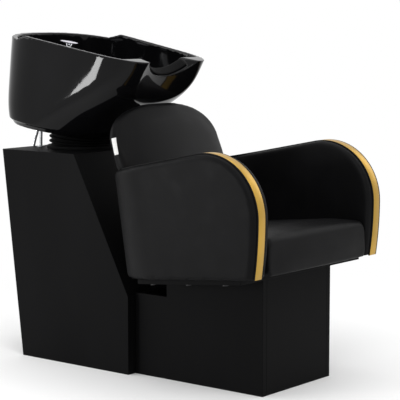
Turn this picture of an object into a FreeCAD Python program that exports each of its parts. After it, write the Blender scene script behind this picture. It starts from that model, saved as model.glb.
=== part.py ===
import FreeCAD, Part
import math
import os

# A salon backwash unit: a tilting wash basin on a cabinet, joined to a tub chair on a box base.
# Lengths are millimetres. X runs across, +Y points from the chair to the basin, +Z is up. While the
# pieces are made, Y is zero where the chair's base meets the cabinet. At the end everything is moved
# so that the origin is on the floor under the middle of the unit.

Vec = FreeCAD.Vector

# Shared clearances and overruns
soft_gap = 0.5
cushion_cut_reach = 130.0
curve_gap = 0.3
running_fit = 0.05
overrun = 20.0

# Cabinet
cabinet_width = 398.0
cabinet_height = 650.0
cabinet_top_front = 216.0
cabinet_top_rear = 522.0
cabinet_floor_depth = 443.0
cabinet_knee_height = 236.0
board = 18.0
cleat = 22.0
floor_bolt_radius = 5.5
floor_bolt_span_x = 300.0
floor_bolt_span_y = 320.0
plumbing_cutout_width = 180.0
plumbing_cutout_depth = 110.0
plumbing_cutout_y = 190.0
rear_screw_shares = (0.12, 0.5, 0.88)
rear_screw_radius = 2.5
rear_screw_head_radius = 5.0
rear_screw_head_height = 2.5
rear_screw_length = 34.0

# Basin placement: its own frame is turned about X so that the neck end is low
basin_lean = 10.5
basin_y = 365.0
basin_rise = 44.0
basin_z = cabinet_height + basin_rise

# Basin levels, each with its height, rear reach, front reach, half width and front squareness
basin_widest = 60.0
basin_round_share = 0.3
basin_rear_power = 2.4
basin_taper_share = 0.12
basin_outline_count = 32
basin_floor_height = 18.0
basin_foot_height = 34.0
basin_rim_front = 300.0
basin_rim_rear = 282.0
basin_rim_step_front = 84.0
basin_rim_step_rear = 124.0
basin_loft_top = 312.0
basin_length_rear = 233.0
basin_length_front = 343.0
basin_half_width = 228.0
basin_wall = 14.0

# Basin inside
deck_height = 195.0
deck_thickness = 12.0
deck_front = 104.0
bowl_floor = 72.0
bowl_floor_thickness = 14.0
drain_along = -32.0
drain_radius = 21.0
foot_ring_width = 15.0
boss_radius = 15.0
bracket_bolt_circle = 58.0
neck_trough_radius = 132.0
neck_trough_depth = 48.0
neck_trough_slope = 24.0
saddle_length = 58.0
saddle_foot = 150.0
scoop_depth = 24.0
scoop_half_width = 140.0
scoop_slope = 68.0
neck_rest_thickness = 9.0
neck_rest_length = 30.0
neck_rest_forward = 20.5
neck_rest_half_width = 92.0

# Tilt hinge and column
pivot_setback = 35.0
pivot_drop = 24.0
pivot_y = basin_y + pivot_setback
pivot_z = basin_z - pivot_drop
pin_radius = 6.0
pin_overhang = 8.0
pin_head_radius = 10.0
pin_head_height = 4.0
clip_thickness = 1.5
clip_radius = 9.0
clip_groove_offset = 2.0
lug_inner = 14.0
lug_thickness = 8.0
lug_radius = 15.0
washer_thickness = 3.6
washer_radius = 13.0
ear_thickness = 8.0
ear_radius = 16.0
column_size = 50.0
column_wall = 3.0
column_cap = 6.0
column_cap_below_pivot = 28.0
flange_size = 120.0
flange_thickness = 8.0
column_bolt_radius = 5.0
column_bolt_head_radius = 8.5
column_bolt_head_height = 6.0
column_bolt_inset = 15.0

# Bracket under the basin
bracket_radius = 76.0
bracket_thickness = 8.0
bracket_waste_radius = 36.0
bracket_bolt_radius = 4.0
bracket_bolt_head_radius = 6.5
bracket_bolt_head_height = 5.0
bracket_bolt_length = 30.0
bracket_bolt_angles = (35.0, 145.0, 215.0, 325.0)

# Bellows and its ring
bellows_crest = 106.0
bellows_valley = 96.0
bellows_wall = 3.0
bellows_ribs = 5
bellows_rib_shares = (0.0, 0.35, 0.6, 0.95)
bellows_hole_radius = 74.0
ring_width = 5.0
ring_height = 9.0
ring_gap = 0.8

# Water and waste
hose_radius = 5.0
hose_nut_radius = 10.0
hose_nut_length = 18.0
supply_thread_radius = 7.5
supply_thread_depth = 12.0
cold_hole_x = -66.0
cold_hole_y = 484.0
hot_hole_x = 20.0
hot_hole_y = 489.0
grommet_bore_radius = 7.5
grommet_body_radius = 10.0
grommet_flange_radius = 13.0
grommet_flange_height = 3.0
waste_pipe_radius = 20.0
waste_pipe_wall = 2.5
waste_tail_length = 32.0
waste_tail_radius = 16.0
waste_flange_radius = 32.0
waste_flange_height = 3.0
waste_nut_radius = 28.0
waste_nut_height = 10.0
waste_gasket_height = 3.0
strainer_hole_radius = 3.0
strainer_hole_circle = 9.5
strainer_hole_count = 6
plumbing_plate_height = 66.0
plumbing_plate_thickness = 3.0
plumbing_plate_depth = 74.0
plumbing_leg_foot = 16.0
spigot_collar_radius = 24.0
spigot_collar_height = 6.0
spigot_floor_gap = 8.0
supply_end_x = 62.0

# Mixer on the basin's deck
mixer_x = -36.0
mixer_along = 150.0
mixer_ring_radius = 24.0
mixer_ring_height = 5.0
mixer_body_radius = 19.0
mixer_body_height = 40.0
mixer_stud_radius = 14.0
mixer_stud_length = 30.0
mixer_nut_radius = 21.0
mixer_nut_height = 9.0
dome_height = 15.0
dome_slot_width = 16.0
dome_slot_depth = 9.0
lever_width = 15.0
lever_thickness = 6.0
lever_reach = 62.0
lever_rise = 10.0
lever_pin_radius = 2.5
lever_pin_below_top = 5.0

# Hand shower and its holder
shower_x = 48.0
shower_along = 150.0
holder_radius = 20.0
holder_height = 16.0
holder_bore_radius = 12.5
holder_tail_radius = 14.5
holder_tail_length = 20.0
handle_radius = 10.5
handle_length = 50.0
handle_drop = 12.0
handle_collar_radius = 15.0
handle_collar_height = 6.0
head_radius = 32.0
head_thickness = 13.0
head_back_radius = 15.0
head_tilt = 3.0
head_above_handle = 3.0
spray_radius = 28.0
spray_thickness = 2.0
shower_hose_radius = 6.5
shower_tail_low = 45.0
hose_first_run = 40.0
hose_last_run = 58.0
hose_hang_points = (
    (58.0, 0.0, 5.0), (61.0, 3.0, -65.0), (64.0, 1.0, -140.0), (64.0, -2.0, -210.0), (50.0, -4.0, -266.0),
    (6.0, -5.0, -292.0), (-38.0, -4.0, -266.0), (-54.0, -2.0, -210.0), (-55.0, 1.0, -140.0), (-52.0, 3.0, -65.0),
    (-50.0, 0.0, 5.0), (-49.0, -27.0, 65.0), (-50.0, -33.0, 122.0),
)
outlet_radius = 3.5
outlet_rise = 5.0
outlet_nozzle = 10.0

# Chair base
base_width = 335.0
base_front = 474.0
base_rear_gap = 2.0
base_notch_length = 121.0
base_notch_height = 246.0
seat_board_thickness = 15.0
seat_board_setback = 24.0
seat_board_rear_half = 185.0
join_bolt_radius = 4.0
join_bolt_head_radius = 7.0
join_bolt_head_height = 5.0
join_bolt_spread = 200.0
join_bolt_heights = (70.0, 180.0)
join_nut_height = 7.0

# Tub shell: outer plan, inner plan, lean of its back
shell_half_width = 318.0
arm_thickness = 73.0
shell_outer_flat = 72.0
shell_inner_flat = 55.0
shell_inner_half_width = shell_half_width - arm_thickness
shell_corner_radius = shell_half_width - shell_outer_flat
shell_inner_radius = shell_inner_half_width - shell_inner_flat
shell_back_wall = 28.0
shell_back_at_floor = -19.6
shell_back_lean = 9.2
shell_low = 250.0
shell_high = 760.0

# Arm outline seen from the side
arm_crest_slope = 11.5
arm_crest_front_y = -348.0
arm_crest_front_z = 687.0
arm_front_radius = 172.0
arm_lower_drop = 161.0
arm_lower_draw_in = 12.0
arm_under_slope = 5.6
arm_edge_radius = 13.0
arm_edge_samples = 9
trim_setback = 17.0
trim_width = 30.0
trim_thickness = 2.5
trim_rear_y = -40.0
arm_bolt_radius = 4.0
arm_bolt_head_radius = 8.0
arm_bolt_head_height = 3.0
arm_bolt_ys = (-430.0, -300.0, -170.0)
arm_bolt_length = 50.0

# Seat cushion
seat_gap = 2.0
seat_front_y = -549.0
seat_rear_y = -30.0
seat_rise_front = 118.0
seat_rise_rear = 114.0
seat_crown = 9.0
seat_side_draw = 5.0
seat_front_round = 30.0

# Backrest cushion
back_bottom_z = 450.0
back_shoulder_rise = 46.0
back_top_rise = 158.0
back_shoulder_z = cabinet_height + back_shoulder_rise
back_top_z = cabinet_height + back_top_rise
back_side_gap = 2.5
back_half_width = shell_inner_half_width - back_side_gap
back_rear_y = 56.0
back_rear_drop = 38.0
back_rear_at_z = cabinet_height - back_rear_drop
back_rear_lean = 8.0
back_front_y = -58.0
back_front_drop = 29.0
back_front_at_z = cabinet_height - back_front_drop
back_front_lean = 26.0
back_crown = 22.0
back_edge_share = 0.34
back_tip_share = 0.20
back_rear_crown_share = 0.30
back_side_share = 0.60
back_dome_power = 2.3
tag_width = 15.0
tag_height = 50.0
tag_thickness = 1.0
tag_rise = 37.0
tag_z = cabinet_height + tag_rise
tag_gap = 3.2
tag_turn = 18.0
tag_lean = 14.0


def box(x0, x1, y0, y1, z0, z1):
    """Box between two corners."""
    return Part.makeBox(x1 - x0, y1 - y0, z1 - z0, Vec(x0, y0, z0))


def prism_x(points, x0, x1):
    """Solid of a (y, z) outline, drawn along X."""
    wire = Part.makePolygon([Vec(x0, y, z) for y, z in points + points[:1]])
    return Part.Face(wire).extrude(Vec(x1 - x0, 0, 0))


def rod(start, end, radius):
    """Cylinder from one point to another."""
    along = end.sub(start)
    return Part.makeCylinder(radius, along.Length, start, along)


def upright(x, y, low, high, radius):
    """Vertical cylinder."""
    return rod(Vec(x, y, low), Vec(x, y, high), radius)


def pipe(start, end, radius, bore):
    """Round tube with an open bore."""
    return rod(start, end, radius).cut(rod(start, end, bore))


def mirrored(shape):
    """The same piece on the other side."""
    return shape.mirror(Vec(0, 0, 0), Vec(1, 0, 0))


def fused(shapes):
    """One solid from pieces that are welded or moulded together."""
    return shapes[0].multiFuse(shapes[1:]).removeSplitter()


def inset(points, depth):
    """Corners of a convex outline, listed anticlockwise, moved inwards."""
    lines = []
    for i, (y0, z0) in enumerate(points):
        y1, z1 = points[(i + 1) % len(points)]
        length = math.hypot(y1 - y0, z1 - z0)
        lines.append((y0 - depth * (z1 - z0) / length, z0 + depth * (y1 - y0) / length, y1 - y0, z1 - z0))
    corners = []
    for i, (by, bz, dy, dz) in enumerate(lines):
        ay, az, cy, cz = lines[i - 1]
        step = ((by - ay) * dz - (bz - az) * dy) / (cy * dz - cz * dy)
        corners.append((ay + step * cy, az + step * cz))
    return corners


def hose(points, radius, bore=0.0):
    """Tube along straight runs joined by arcs as large as the runs allow."""
    edges = []
    start = points[0]
    radii = []
    run_share = 0.45
    for before, corner, after in zip(points, points[1:], points[2:]):
        back = before.sub(corner)
        ahead = after.sub(corner)
        cut = run_share * min(back.Length, ahead.Length)
        arc_start = corner.add(Vec(back).normalize().multiply(cut))
        arc_end = corner.add(Vec(ahead).normalize().multiply(cut))
        half_turn = (math.pi - back.getAngle(ahead)) / 2
        bend_radius = cut / math.tan(half_turn)
        sagitta = bend_radius * (1 / math.cos(half_turn) - 1)
        inward = Vec(back).normalize().add(Vec(ahead).normalize()).normalize()
        arc_mid = corner.add(inward.multiply(sagitta))
        edges.append(Part.LineSegment(start, arc_start).toShape())
        edges.append(Part.Arc(arc_start, arc_mid, arc_end).toShape())
        radii.append(bend_radius)
        start = arc_end
    edges.append(Part.LineSegment(start, points[-1]).toShape())
    path = Part.Wire(edges)
    heading = points[1].sub(points[0])

    def swept(size):
        ring = Part.Wire(Part.makeCircle(size, points[0], heading))
        return path.makePipeShell([ring], True, False)

    solid = swept(radius)
    if bore:
        solid = solid.cut(swept(bore))
    area = math.pi * (radius ** 2 - bore ** 2)
    print("hose length %.0f, least radius %.0f, volume over section times length %.3f"
          % (path.Length, min(radii), solid.Volume / (area * path.Length)))
    return solid


# The cabinet's outline from the side, anticlockwise from the front floor corner
cabinet_outline = [
    (0.0, 0.0),
    (cabinet_floor_depth, 0.0),
    (cabinet_top_rear, cabinet_height),
    (cabinet_top_front, cabinet_height),
    (0.0, cabinet_knee_height),
]
cabinet_inner = inset(cabinet_outline, board)
cabinet_cleat_line = inset(cabinet_outline, board + cleat)
cabinet_half = cabinet_width / 2
cabinet_room = cabinet_half - board
rear_run_y = cabinet_top_rear - cabinet_floor_depth
rear_run = math.hypot(rear_run_y, cabinet_height)
rear_inward = Vec(0, -cabinet_height / rear_run, rear_run_y / rear_run)
floor_bolt_y = cabinet_floor_depth / 2
flange_y = pivot_y - (flange_size - column_size) / 2


def cabinet_panel(i, x0, x1, outer=cabinet_outline, inner=cabinet_inner):
    """One mitred board along an edge of the cabinet's outline."""
    j = (i + 1) % len(outer)
    return prism_x([outer[i], outer[j], inner[j], inner[i]], x0, x1)


def cabinet_side():
    """Left side board, the full outline of the cabinet."""
    return prism_x(cabinet_outline, -cabinet_half, -cabinet_room)


def column_bolt_places():
    """Where the column's flange is bolted to the floor board."""
    reach = flange_size / 2 - column_bolt_inset
    return [(sx * reach, flange_y + sy * reach) for sx in (-1, 1) for sy in (-1, 1)]


def cabinet_floor():
    """Floor board with holes for floor bolts, column bolts and the plumbing."""
    panel = cabinet_panel(0, -cabinet_room, cabinet_room)
    for sx in (-1, 1):
        for sy in (-1, 1):
            x = sx * floor_bolt_span_x / 2
            y = floor_bolt_y + sy * floor_bolt_span_y / 2
            panel = panel.cut(upright(x, y, -overrun, board + overrun, floor_bolt_radius))
    for x, y in column_bolt_places():
        panel = panel.cut(upright(x, y, -overrun, board + overrun, column_bolt_radius))
    half_width = plumbing_cutout_width / 2
    half_depth = plumbing_cutout_depth / 2
    return panel.cut(box(-half_width, half_width, plumbing_cutout_y - half_depth,
                         plumbing_cutout_y + half_depth, -overrun, board + overrun))


def rear_screw_places():
    """Points on the rear board's outer face, with a screw at each."""
    x = cabinet_room - cleat / 2
    low_y, low_z = cabinet_outline[1]
    places = []
    for sx in (-1, 1):
        for share in rear_screw_shares:
            places.append(Vec(sx * x, low_y + share * rear_run_y, low_z + share * cabinet_height))
    return places


def rear_screw_hole(place, radius):
    """Cutter along a rear screw's axis."""
    return rod(place.sub(rear_inward * overrun), place.add(rear_inward * rear_screw_length), radius)


def cabinet_rear():
    """Service board at the back, held by screws."""
    panel = cabinet_panel(1, -cabinet_room, cabinet_room)
    for place in rear_screw_places():
        panel = panel.cut(rear_screw_hole(place, rear_screw_radius))
    return panel


def rear_cleats():
    """Two battens inside the back edge that the service board is screwed to."""
    strip = cabinet_panel(1, cabinet_room - cleat, cabinet_room, cabinet_inner, cabinet_cleat_line)
    pair = [strip, mirrored(strip)]
    for place in rear_screw_places():
        pair = [piece.cut(rear_screw_hole(place, rear_screw_radius)) for piece in pair]
    return Part.makeCompound(pair)


def rear_screws():
    """Pan-head screws of the service board."""
    screws = []
    for place in rear_screw_places():
        shank = rod(place, place.add(rear_inward * rear_screw_length), rear_screw_radius)
        head = rod(place.sub(rear_inward * rear_screw_head_height), place, rear_screw_head_radius)
        screws.append(fused([shank, head]))
    return Part.makeCompound(screws)


def cabinet_top():
    """Top board with the bellows opening and two hose holes."""
    panel = cabinet_panel(2, -cabinet_room, cabinet_room)
    low = cabinet_height - board - overrun
    high = cabinet_height + overrun
    panel = panel.cut(upright(0, basin_y, low, high, bellows_hole_radius))
    for x, y in ((cold_hole_x, cold_hole_y), (hot_hole_x, hot_hole_y)):
        panel = panel.cut(upright(x, y, low, high, grommet_body_radius))
    return panel


def hose_grommets():
    """Flanged bushes where the supply hoses enter the cabinet."""
    bushes = []
    for x, y in ((cold_hole_x, cold_hole_y), (hot_hole_x, hot_hole_y)):
        flange = upright(x, y, cabinet_height, cabinet_height + grommet_flange_height, grommet_flange_radius)
        body = upright(x, y, cabinet_height - board, cabinet_height, grommet_body_radius)
        bore = upright(x, y, cabinet_height - board - overrun, cabinet_height + overrun, grommet_bore_radius)
        bushes.append(fused([flange, body]).cut(bore))
    return Part.makeCompound(bushes)


# Basin frame: x across, s along (positive to the rear), t up, all turned by the lean
lean = math.radians(basin_lean)


def basin_point(x, s, t):
    """World point of a place in the basin's own frame."""
    return Vec(x, basin_y + s * math.cos(lean) - t * math.sin(lean),
               basin_z + s * math.sin(lean) + t * math.cos(lean))


def from_basin(shape):
    """A piece made in the basin's own frame, put where the basin stands."""
    placed = shape.copy()
    placed.rotate(Vec(0, 0, 0), Vec(1, 0, 0), basin_lean)
    placed.translate(Vec(0, basin_y, basin_z))
    return placed


basin_up = Vec(0, -math.sin(lean), math.cos(lean))
pivot_s = (pivot_y - basin_y) * math.cos(lean) + (pivot_z - basin_z) * math.sin(lean)
pivot_t = (pivot_z - basin_z) * math.cos(lean) - (pivot_y - basin_y) * math.sin(lean)

# Each level: height share of the loft, rear share, front share, width share and squareness.
# The shares follow the basin's height, rear length, front length and half width.
basin_level_shares = (
    (0.0, 0.806, 0.4146, 0.985, 2.3),
    (0.146, 0.872, 0.490, 1.0, 3.0),
    (0.327, 0.915, 0.650, 1.0, 3.8),
    (0.572, 0.950, 0.862, 1.0, 4.6),
    (0.798, 0.978, 0.957, 1.0, 5.4),
    (1.0, 1.0, 1.0, 1.0, 6.5),
)
basin_foot_shares = ((0.760, 0.355, 0.90, 2.2), (0.800, 0.396, 0.96, 2.2))
bowl_level_shares = (
    (0.0, 0.28, 0.33, 0.58, 2.0),
    (0.10, 0.36, 0.44, 0.76, 2.2),
    (0.30, 0.41, 0.55, 0.87, 2.8),
    (0.62, 0.435, 0.69, 0.915, 3.6),
    (1.04, 0.445, 0.815, 0.93, 4.4),
)
well_level_shares = (
    (0.0, 0.870, 0.800, 0.928, 4.6),
    (0.55, 0.905, 0.905, 0.934, 5.4),
    (1.05, 0.930, 0.945, 0.936, 6.4),
)


def basin_ring(height, rear, front, half_width, power):
    """Egg-shaped outline at one height of the basin, round behind and square in front."""
    points = []
    widest = min(basin_widest, rear - (rear + front) * basin_round_share)
    for i in range(basin_outline_count):
        angle = 2 * math.pi * i / basin_outline_count
        across = math.sin(angle)
        along = math.cos(angle)
        reach = rear - widest if along > 0 else front + widest
        square = basin_rear_power if along > 0 else power
        size = ((abs(across) / half_width) ** square + (abs(along) / reach) ** square) ** (-1 / square)
        forward = max(0.0, -along * size) / (basin_length_front + basin_widest)
        points.append(Vec(across * size * (1 - basin_taper_share * forward), widest + along * size, height))
    curve = Part.BSplineCurve()
    curve.interpolate(points, PeriodicFlag=True)
    return Part.Wire(curve.toShape())


def basin_loft(levels):
    """Closed body through outlines at several heights."""
    return Part.makeLoft([basin_ring(*level) for level in levels], True, False)


def sized_levels(shares, low, high, shrink=0.0):
    """Outline sizes at heights between two limits, drawn in by a wall."""
    levels = []
    for height, rear, front, width, power in shares:
        levels.append((low + height * (high - low), rear * basin_length_rear - shrink,
                       front * basin_length_front - shrink, width * basin_half_width - shrink, power))
    return levels


def foot_levels(shrink=0.0):
    """Outline sizes of the low foot under the basin."""
    heights = (basin_floor_height, basin_foot_height)
    levels = []
    for height, (rear, front, width, power) in zip(heights, basin_foot_shares):
        levels.append((height, rear * basin_length_rear - shrink, front * basin_length_front - shrink,
                       width * basin_half_width - shrink, power))
    return levels


def bracket_bolt_places():
    """Bolt places in the basin's frame."""
    return [(bracket_bolt_circle * math.cos(math.radians(a)), bracket_bolt_circle * math.sin(math.radians(a)))
            for a in bracket_bolt_angles]


def neck_trough(radius, length_start, length_end):
    """Cylinder lying in the neck trough, sloping down towards the front."""
    slope = math.radians(neck_trough_slope)
    middle_s = -basin_length_front + saddle_length / 2
    middle_t = basin_rim_front - neck_trough_depth + neck_trough_radius
    heading = Vec(0, -math.cos(slope), -math.sin(slope))
    start = Vec(0, middle_s, middle_t).add(heading * length_start)
    return Part.makeCylinder(radius, length_end - length_start, start, heading)


def front_scoop():
    """Large cylinder that hollows the basin's front face below the neck trough."""
    slope = math.radians(scoop_slope)
    radius = (scoop_half_width ** 2 + scoop_depth ** 2) / (2 * scoop_depth)
    heading = Vec(0, math.cos(slope), -math.sin(slope))
    inward = Vec(0, math.sin(slope), math.cos(slope))
    corner = Vec(0, -basin_length_front, basin_rim_front)
    axis_point = corner.add(inward * (scoop_depth - radius))
    return Part.makeCylinder(radius, 2 * radius, axis_point.sub(heading * radius), heading)


def basin():
    """Glazed basin: outer hull, bowl, tap deck, neck trough and hollow foot."""
    outer = basin_loft(sized_levels(basin_level_shares, basin_foot_height, basin_loft_top))
    outer = outer.fuse(basin_loft(foot_levels()))
    above_foot = box(-basin_half_width - overrun, basin_half_width + overrun,
                     -basin_length_front - overrun, basin_length_rear + overrun,
                     basin_floor_height, basin_loft_top + overrun)
    outer = outer.common(above_foot)
    well = basin_loft(sized_levels(well_level_shares, deck_height, basin_loft_top))
    bowl = basin_loft(sized_levels(bowl_level_shares, bowl_floor, deck_height))
    saddle = prism_x([(-basin_length_front - overrun, 0), (-basin_length_front + saddle_foot, 0),
                      (-basin_length_front + saddle_length, basin_loft_top + overrun),
                      (-basin_length_front - overrun, basin_loft_top + overrun)],
                     -basin_half_width, basin_half_width)
    body = outer.cut(well.cut(saddle)).cut(bowl.cut(saddle))
    rim = [(-basin_length_front - overrun, basin_rim_front), (basin_rim_step_front, basin_rim_front),
           (basin_rim_step_rear, basin_rim_rear), (basin_length_rear + overrun, basin_rim_rear),
           (basin_length_rear + overrun, basin_loft_top + overrun),
           (-basin_length_front - overrun, basin_loft_top + overrun)]
    body = body.cut(prism_x(rim, -basin_half_width - overrun, basin_half_width + overrun))
    body = body.cut(neck_trough(neck_trough_radius, -neck_trough_radius, neck_trough_radius))
    body = body.cut(front_scoop())
    hollow = basin_loft(sized_levels(basin_level_shares[:4], basin_foot_height, basin_loft_top, basin_wall))
    behind = box(-basin_half_width, basin_half_width, deck_front + basin_wall, basin_length_rear,
                 -overrun, deck_height - deck_thickness)
    body = body.cut(hollow.common(behind))
    under_floor = bowl_floor - bowl_floor_thickness
    well_under = basin_loft([(-overrun,) + foot_levels(foot_ring_width)[0][1:],
                             (under_floor,) + foot_levels(foot_ring_width)[0][1:]])
    body = body.cut(well_under)
    for x, s in bracket_bolt_places():
        body = body.fuse(upright(x, s, basin_floor_height, under_floor, boss_radius))
    for x, s in bracket_bolt_places():
        body = body.cut(upright(x, s, -overrun, basin_floor_height + bracket_bolt_length, bracket_bolt_radius))
    body = body.cut(upright(0, drain_along, 0, deck_height, drain_radius))
    body = body.cut(upright(mixer_x, mixer_along, deck_height - overrun, deck_height + overrun,
                            mixer_stud_radius + curve_gap))
    body = body.cut(upright(shower_x, shower_along, deck_height - overrun, deck_height + overrun,
                            holder_tail_radius + curve_gap))
    return from_basin(body)


def neck_rest():
    """Rubber pad that lines the neck trough."""
    start = neck_rest_forward - neck_rest_length / 2
    end = start + neck_rest_length
    pad = neck_trough(neck_trough_radius - curve_gap, start, end)
    pad = pad.cut(neck_trough(neck_trough_radius - neck_rest_thickness, start - overrun, end + overrun))
    keep = box(-neck_rest_half_width, neck_rest_half_width, -basin_length_front - neck_rest_length,
               0, 0, basin_rim_front)
    return from_basin(pad.common(keep))


def basin_bracket():
    """Round steel plate under the basin with two lugs for the hinge pin."""
    plate_low = basin_floor_height - bracket_thickness
    plate = upright(0, 0, plate_low, basin_floor_height, bracket_radius)
    lugs = []
    for side in (-1, 1):
        x0 = min(side * lug_inner, side * (lug_inner + lug_thickness))
        x1 = x0 + lug_thickness
        eye = rod(Vec(x0, pivot_s, pivot_t), Vec(x1, pivot_s, pivot_t), lug_radius)
        lugs.append(eye.fuse(box(x0, x1, pivot_s - lug_radius, pivot_s + lug_radius, pivot_t, plate_low)))
    body = fused([plate] + lugs)
    body = body.cut(rod(Vec(-bracket_radius, pivot_s, pivot_t), Vec(bracket_radius, pivot_s, pivot_t),
                        pin_radius + running_fit))
    body = body.cut(upright(0, drain_along, 0, basin_floor_height + overrun, bracket_waste_radius))
    for x, s in bracket_bolt_places():
        body = body.cut(upright(x, s, 0, basin_floor_height + overrun, bracket_bolt_radius))
    return from_basin(body)


def bracket_bolts():
    """Bolts that clamp the bracket to the basin's bosses."""
    head_top = basin_floor_height - bracket_thickness
    bolts = []
    for x, s in bracket_bolt_places():
        shank = upright(x, s, head_top, basin_floor_height + bracket_bolt_length, bracket_bolt_radius)
        head = upright(x, s, head_top - bracket_bolt_head_height, head_top, bracket_bolt_head_radius)
        bolts.append(from_basin(fused([shank, head])))
    return Part.makeCompound(bolts)


def waste_flange():
    """Strainer plate in the bowl's floor with its threaded tail."""
    plate = upright(0, drain_along, bowl_floor, bowl_floor + waste_flange_height, waste_flange_radius)
    tail_end = bowl_floor - bowl_floor_thickness - waste_tail_length
    tail = upright(0, drain_along, tail_end, bowl_floor, waste_tail_radius)
    bore = upright(0, drain_along, tail_end - overrun, bowl_floor, waste_tail_radius - waste_pipe_wall)
    body = fused([plate, tail]).cut(bore)
    for i in range(strainer_hole_count):
        angle = 2 * math.pi * i / strainer_hole_count
        body = body.cut(upright(strainer_hole_circle * math.cos(angle),
                                drain_along + strainer_hole_circle * math.sin(angle),
                                0, bowl_floor + overrun, strainer_hole_radius))
    return from_basin(body)


def under_bowl_ring(high, thickness, radius):
    """Ring round the waste tail, below a given height."""
    ring = pipe(Vec(0, drain_along, high - thickness), Vec(0, drain_along, high), radius, waste_tail_radius)
    return from_basin(ring)


def mixer_body():
    """Mixer's foot ring, body and threaded stud."""
    low = deck_height + mixer_ring_height
    foot = upright(mixer_x, mixer_along, deck_height, low, mixer_ring_radius)
    barrel = upright(mixer_x, mixer_along, low, low + mixer_body_height, mixer_body_radius)
    stud = upright(mixer_x, mixer_along, deck_height - mixer_stud_length, deck_height, mixer_stud_radius)
    return from_basin(fused([foot, barrel, stud]))


def mixer_nut():
    """Ring nut that clamps the mixer under the deck."""
    high = deck_height - deck_thickness
    return from_basin(pipe(Vec(mixer_x, mixer_along, high - mixer_nut_height), Vec(mixer_x, mixer_along, high),
                           mixer_nut_radius, mixer_stud_radius))


dome_low = deck_height + mixer_ring_height + mixer_body_height + curve_gap
dome_top = dome_low + dome_height
lever_axis_t = dome_top - lever_pin_below_top


def mixer_dome():
    """Turning cap of the mixer, slotted for the lever."""
    cap = upright(mixer_x, mixer_along, dome_low, dome_top, mixer_body_radius)
    slot = box(mixer_x - dome_slot_width / 2, mixer_x + dome_slot_width / 2,
               mixer_along - mixer_body_radius - overrun, mixer_along + dome_slot_width / 2,
               dome_top - dome_slot_depth, dome_top + overrun)
    pin_hole = rod(Vec(mixer_x - mixer_body_radius, mixer_along, lever_axis_t),
                   Vec(mixer_x + mixer_body_radius, mixer_along, lever_axis_t), lever_pin_radius + running_fit)
    return from_basin(cap.cut(slot).cut(pin_hole))


def mixer_lever():
    """Flat lever with its cross pin."""
    half = lever_width / 2
    low = lever_axis_t - lever_thickness / 2
    start = mixer_along + lever_thickness / 2
    tip = mixer_along - lever_reach
    outline = [(start, low), (start, low + lever_thickness), (tip, low + lever_thickness + lever_rise),
               (tip, low + lever_rise)]
    blade = prism_x(outline, mixer_x - half, mixer_x + half)
    inner_reach = math.sqrt(mixer_body_radius ** 2 - dome_slot_depth ** 2)
    pin = rod(Vec(mixer_x - inner_reach, mixer_along, lever_axis_t),
              Vec(mixer_x + inner_reach, mixer_along, lever_axis_t), lever_pin_radius)
    return from_basin(fused([blade, pin]))


def shower_holder():
    """Bush in the deck that the hand shower stands in."""
    base = Vec(shower_x, shower_along, deck_height)
    cup = rod(base, base.add(Vec(0, 0, holder_height)), holder_radius)
    tail = rod(base.sub(Vec(0, 0, holder_tail_length)), base, holder_tail_radius)
    bore = rod(base.sub(Vec(0, 0, holder_tail_length + overrun)), base.add(Vec(0, 0, holder_height + overrun)),
               holder_bore_radius)
    return from_basin(fused([cup, tail]).cut(bore))


handle_low = deck_height + holder_height - handle_drop
handle_top = handle_low + handle_length


def head_frame(shape):
    """A disc made flat at the origin, tilted and put on top of the handle."""
    placed = shape.copy()
    placed.rotate(Vec(0, 0, 0), Vec(0, 1, 0), head_tilt)
    placed.translate(Vec(shower_x, shower_along, handle_top + head_above_handle))
    return from_basin(placed)


def hand_shower():
    """Handle with its seat collar and the round head."""
    stem = upright(shower_x, shower_along, handle_low, handle_top + head_above_handle, handle_radius)
    collar_low = deck_height + holder_height
    collar = upright(shower_x, shower_along, collar_low, collar_low + handle_collar_height,
                     handle_collar_radius)
    cone = Part.makeCone(head_back_radius, head_radius, head_thickness)
    body = from_basin(fused([stem, collar])).fuse(head_frame(cone))
    recess = Part.makeCylinder(spray_radius, spray_thickness, Vec(0, 0, head_thickness - spray_thickness))
    return body.cut(head_frame(recess)).removeSplitter()


def shower_tail():
    """Straight end of the hose below the handle, which rises with the hand shower."""
    return from_basin(upright(shower_x, shower_along, shower_tail_low, handle_low, shower_hose_radius))


outlet_x = mixer_x - mixer_stud_radius
outlet_along = mixer_along + mixer_stud_length
outlet_low = deck_height - mixer_stud_length


def mixer_outlet():
    """Elbow from the mixer's stud to the shower hose."""
    level = outlet_low + outlet_rise
    arm_rod = rod(Vec(mixer_x, mixer_along, level), Vec(outlet_x, outlet_along, level), outlet_radius)
    nozzle = upright(outlet_x, outlet_along, outlet_low, outlet_low + outlet_nozzle, shower_hose_radius)
    stud = upright(mixer_x, mixer_along, outlet_low - overrun, deck_height, mixer_stud_radius)
    return from_basin(fused([arm_rod, nozzle]).cut(stud))


def spray_face():
    """Pale spray plate let into the head."""
    return head_frame(Part.makeCylinder(spray_radius, spray_thickness,
                                        Vec(0, 0, head_thickness - spray_thickness)))


# Hinge stack along the pin, from the middle outwards
washer_inner = lug_inner + lug_thickness + running_fit
ear_inner = washer_inner + washer_thickness + running_fit
ear_outer = ear_inner + ear_thickness
column_top = pivot_z - column_cap_below_pivot


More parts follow.
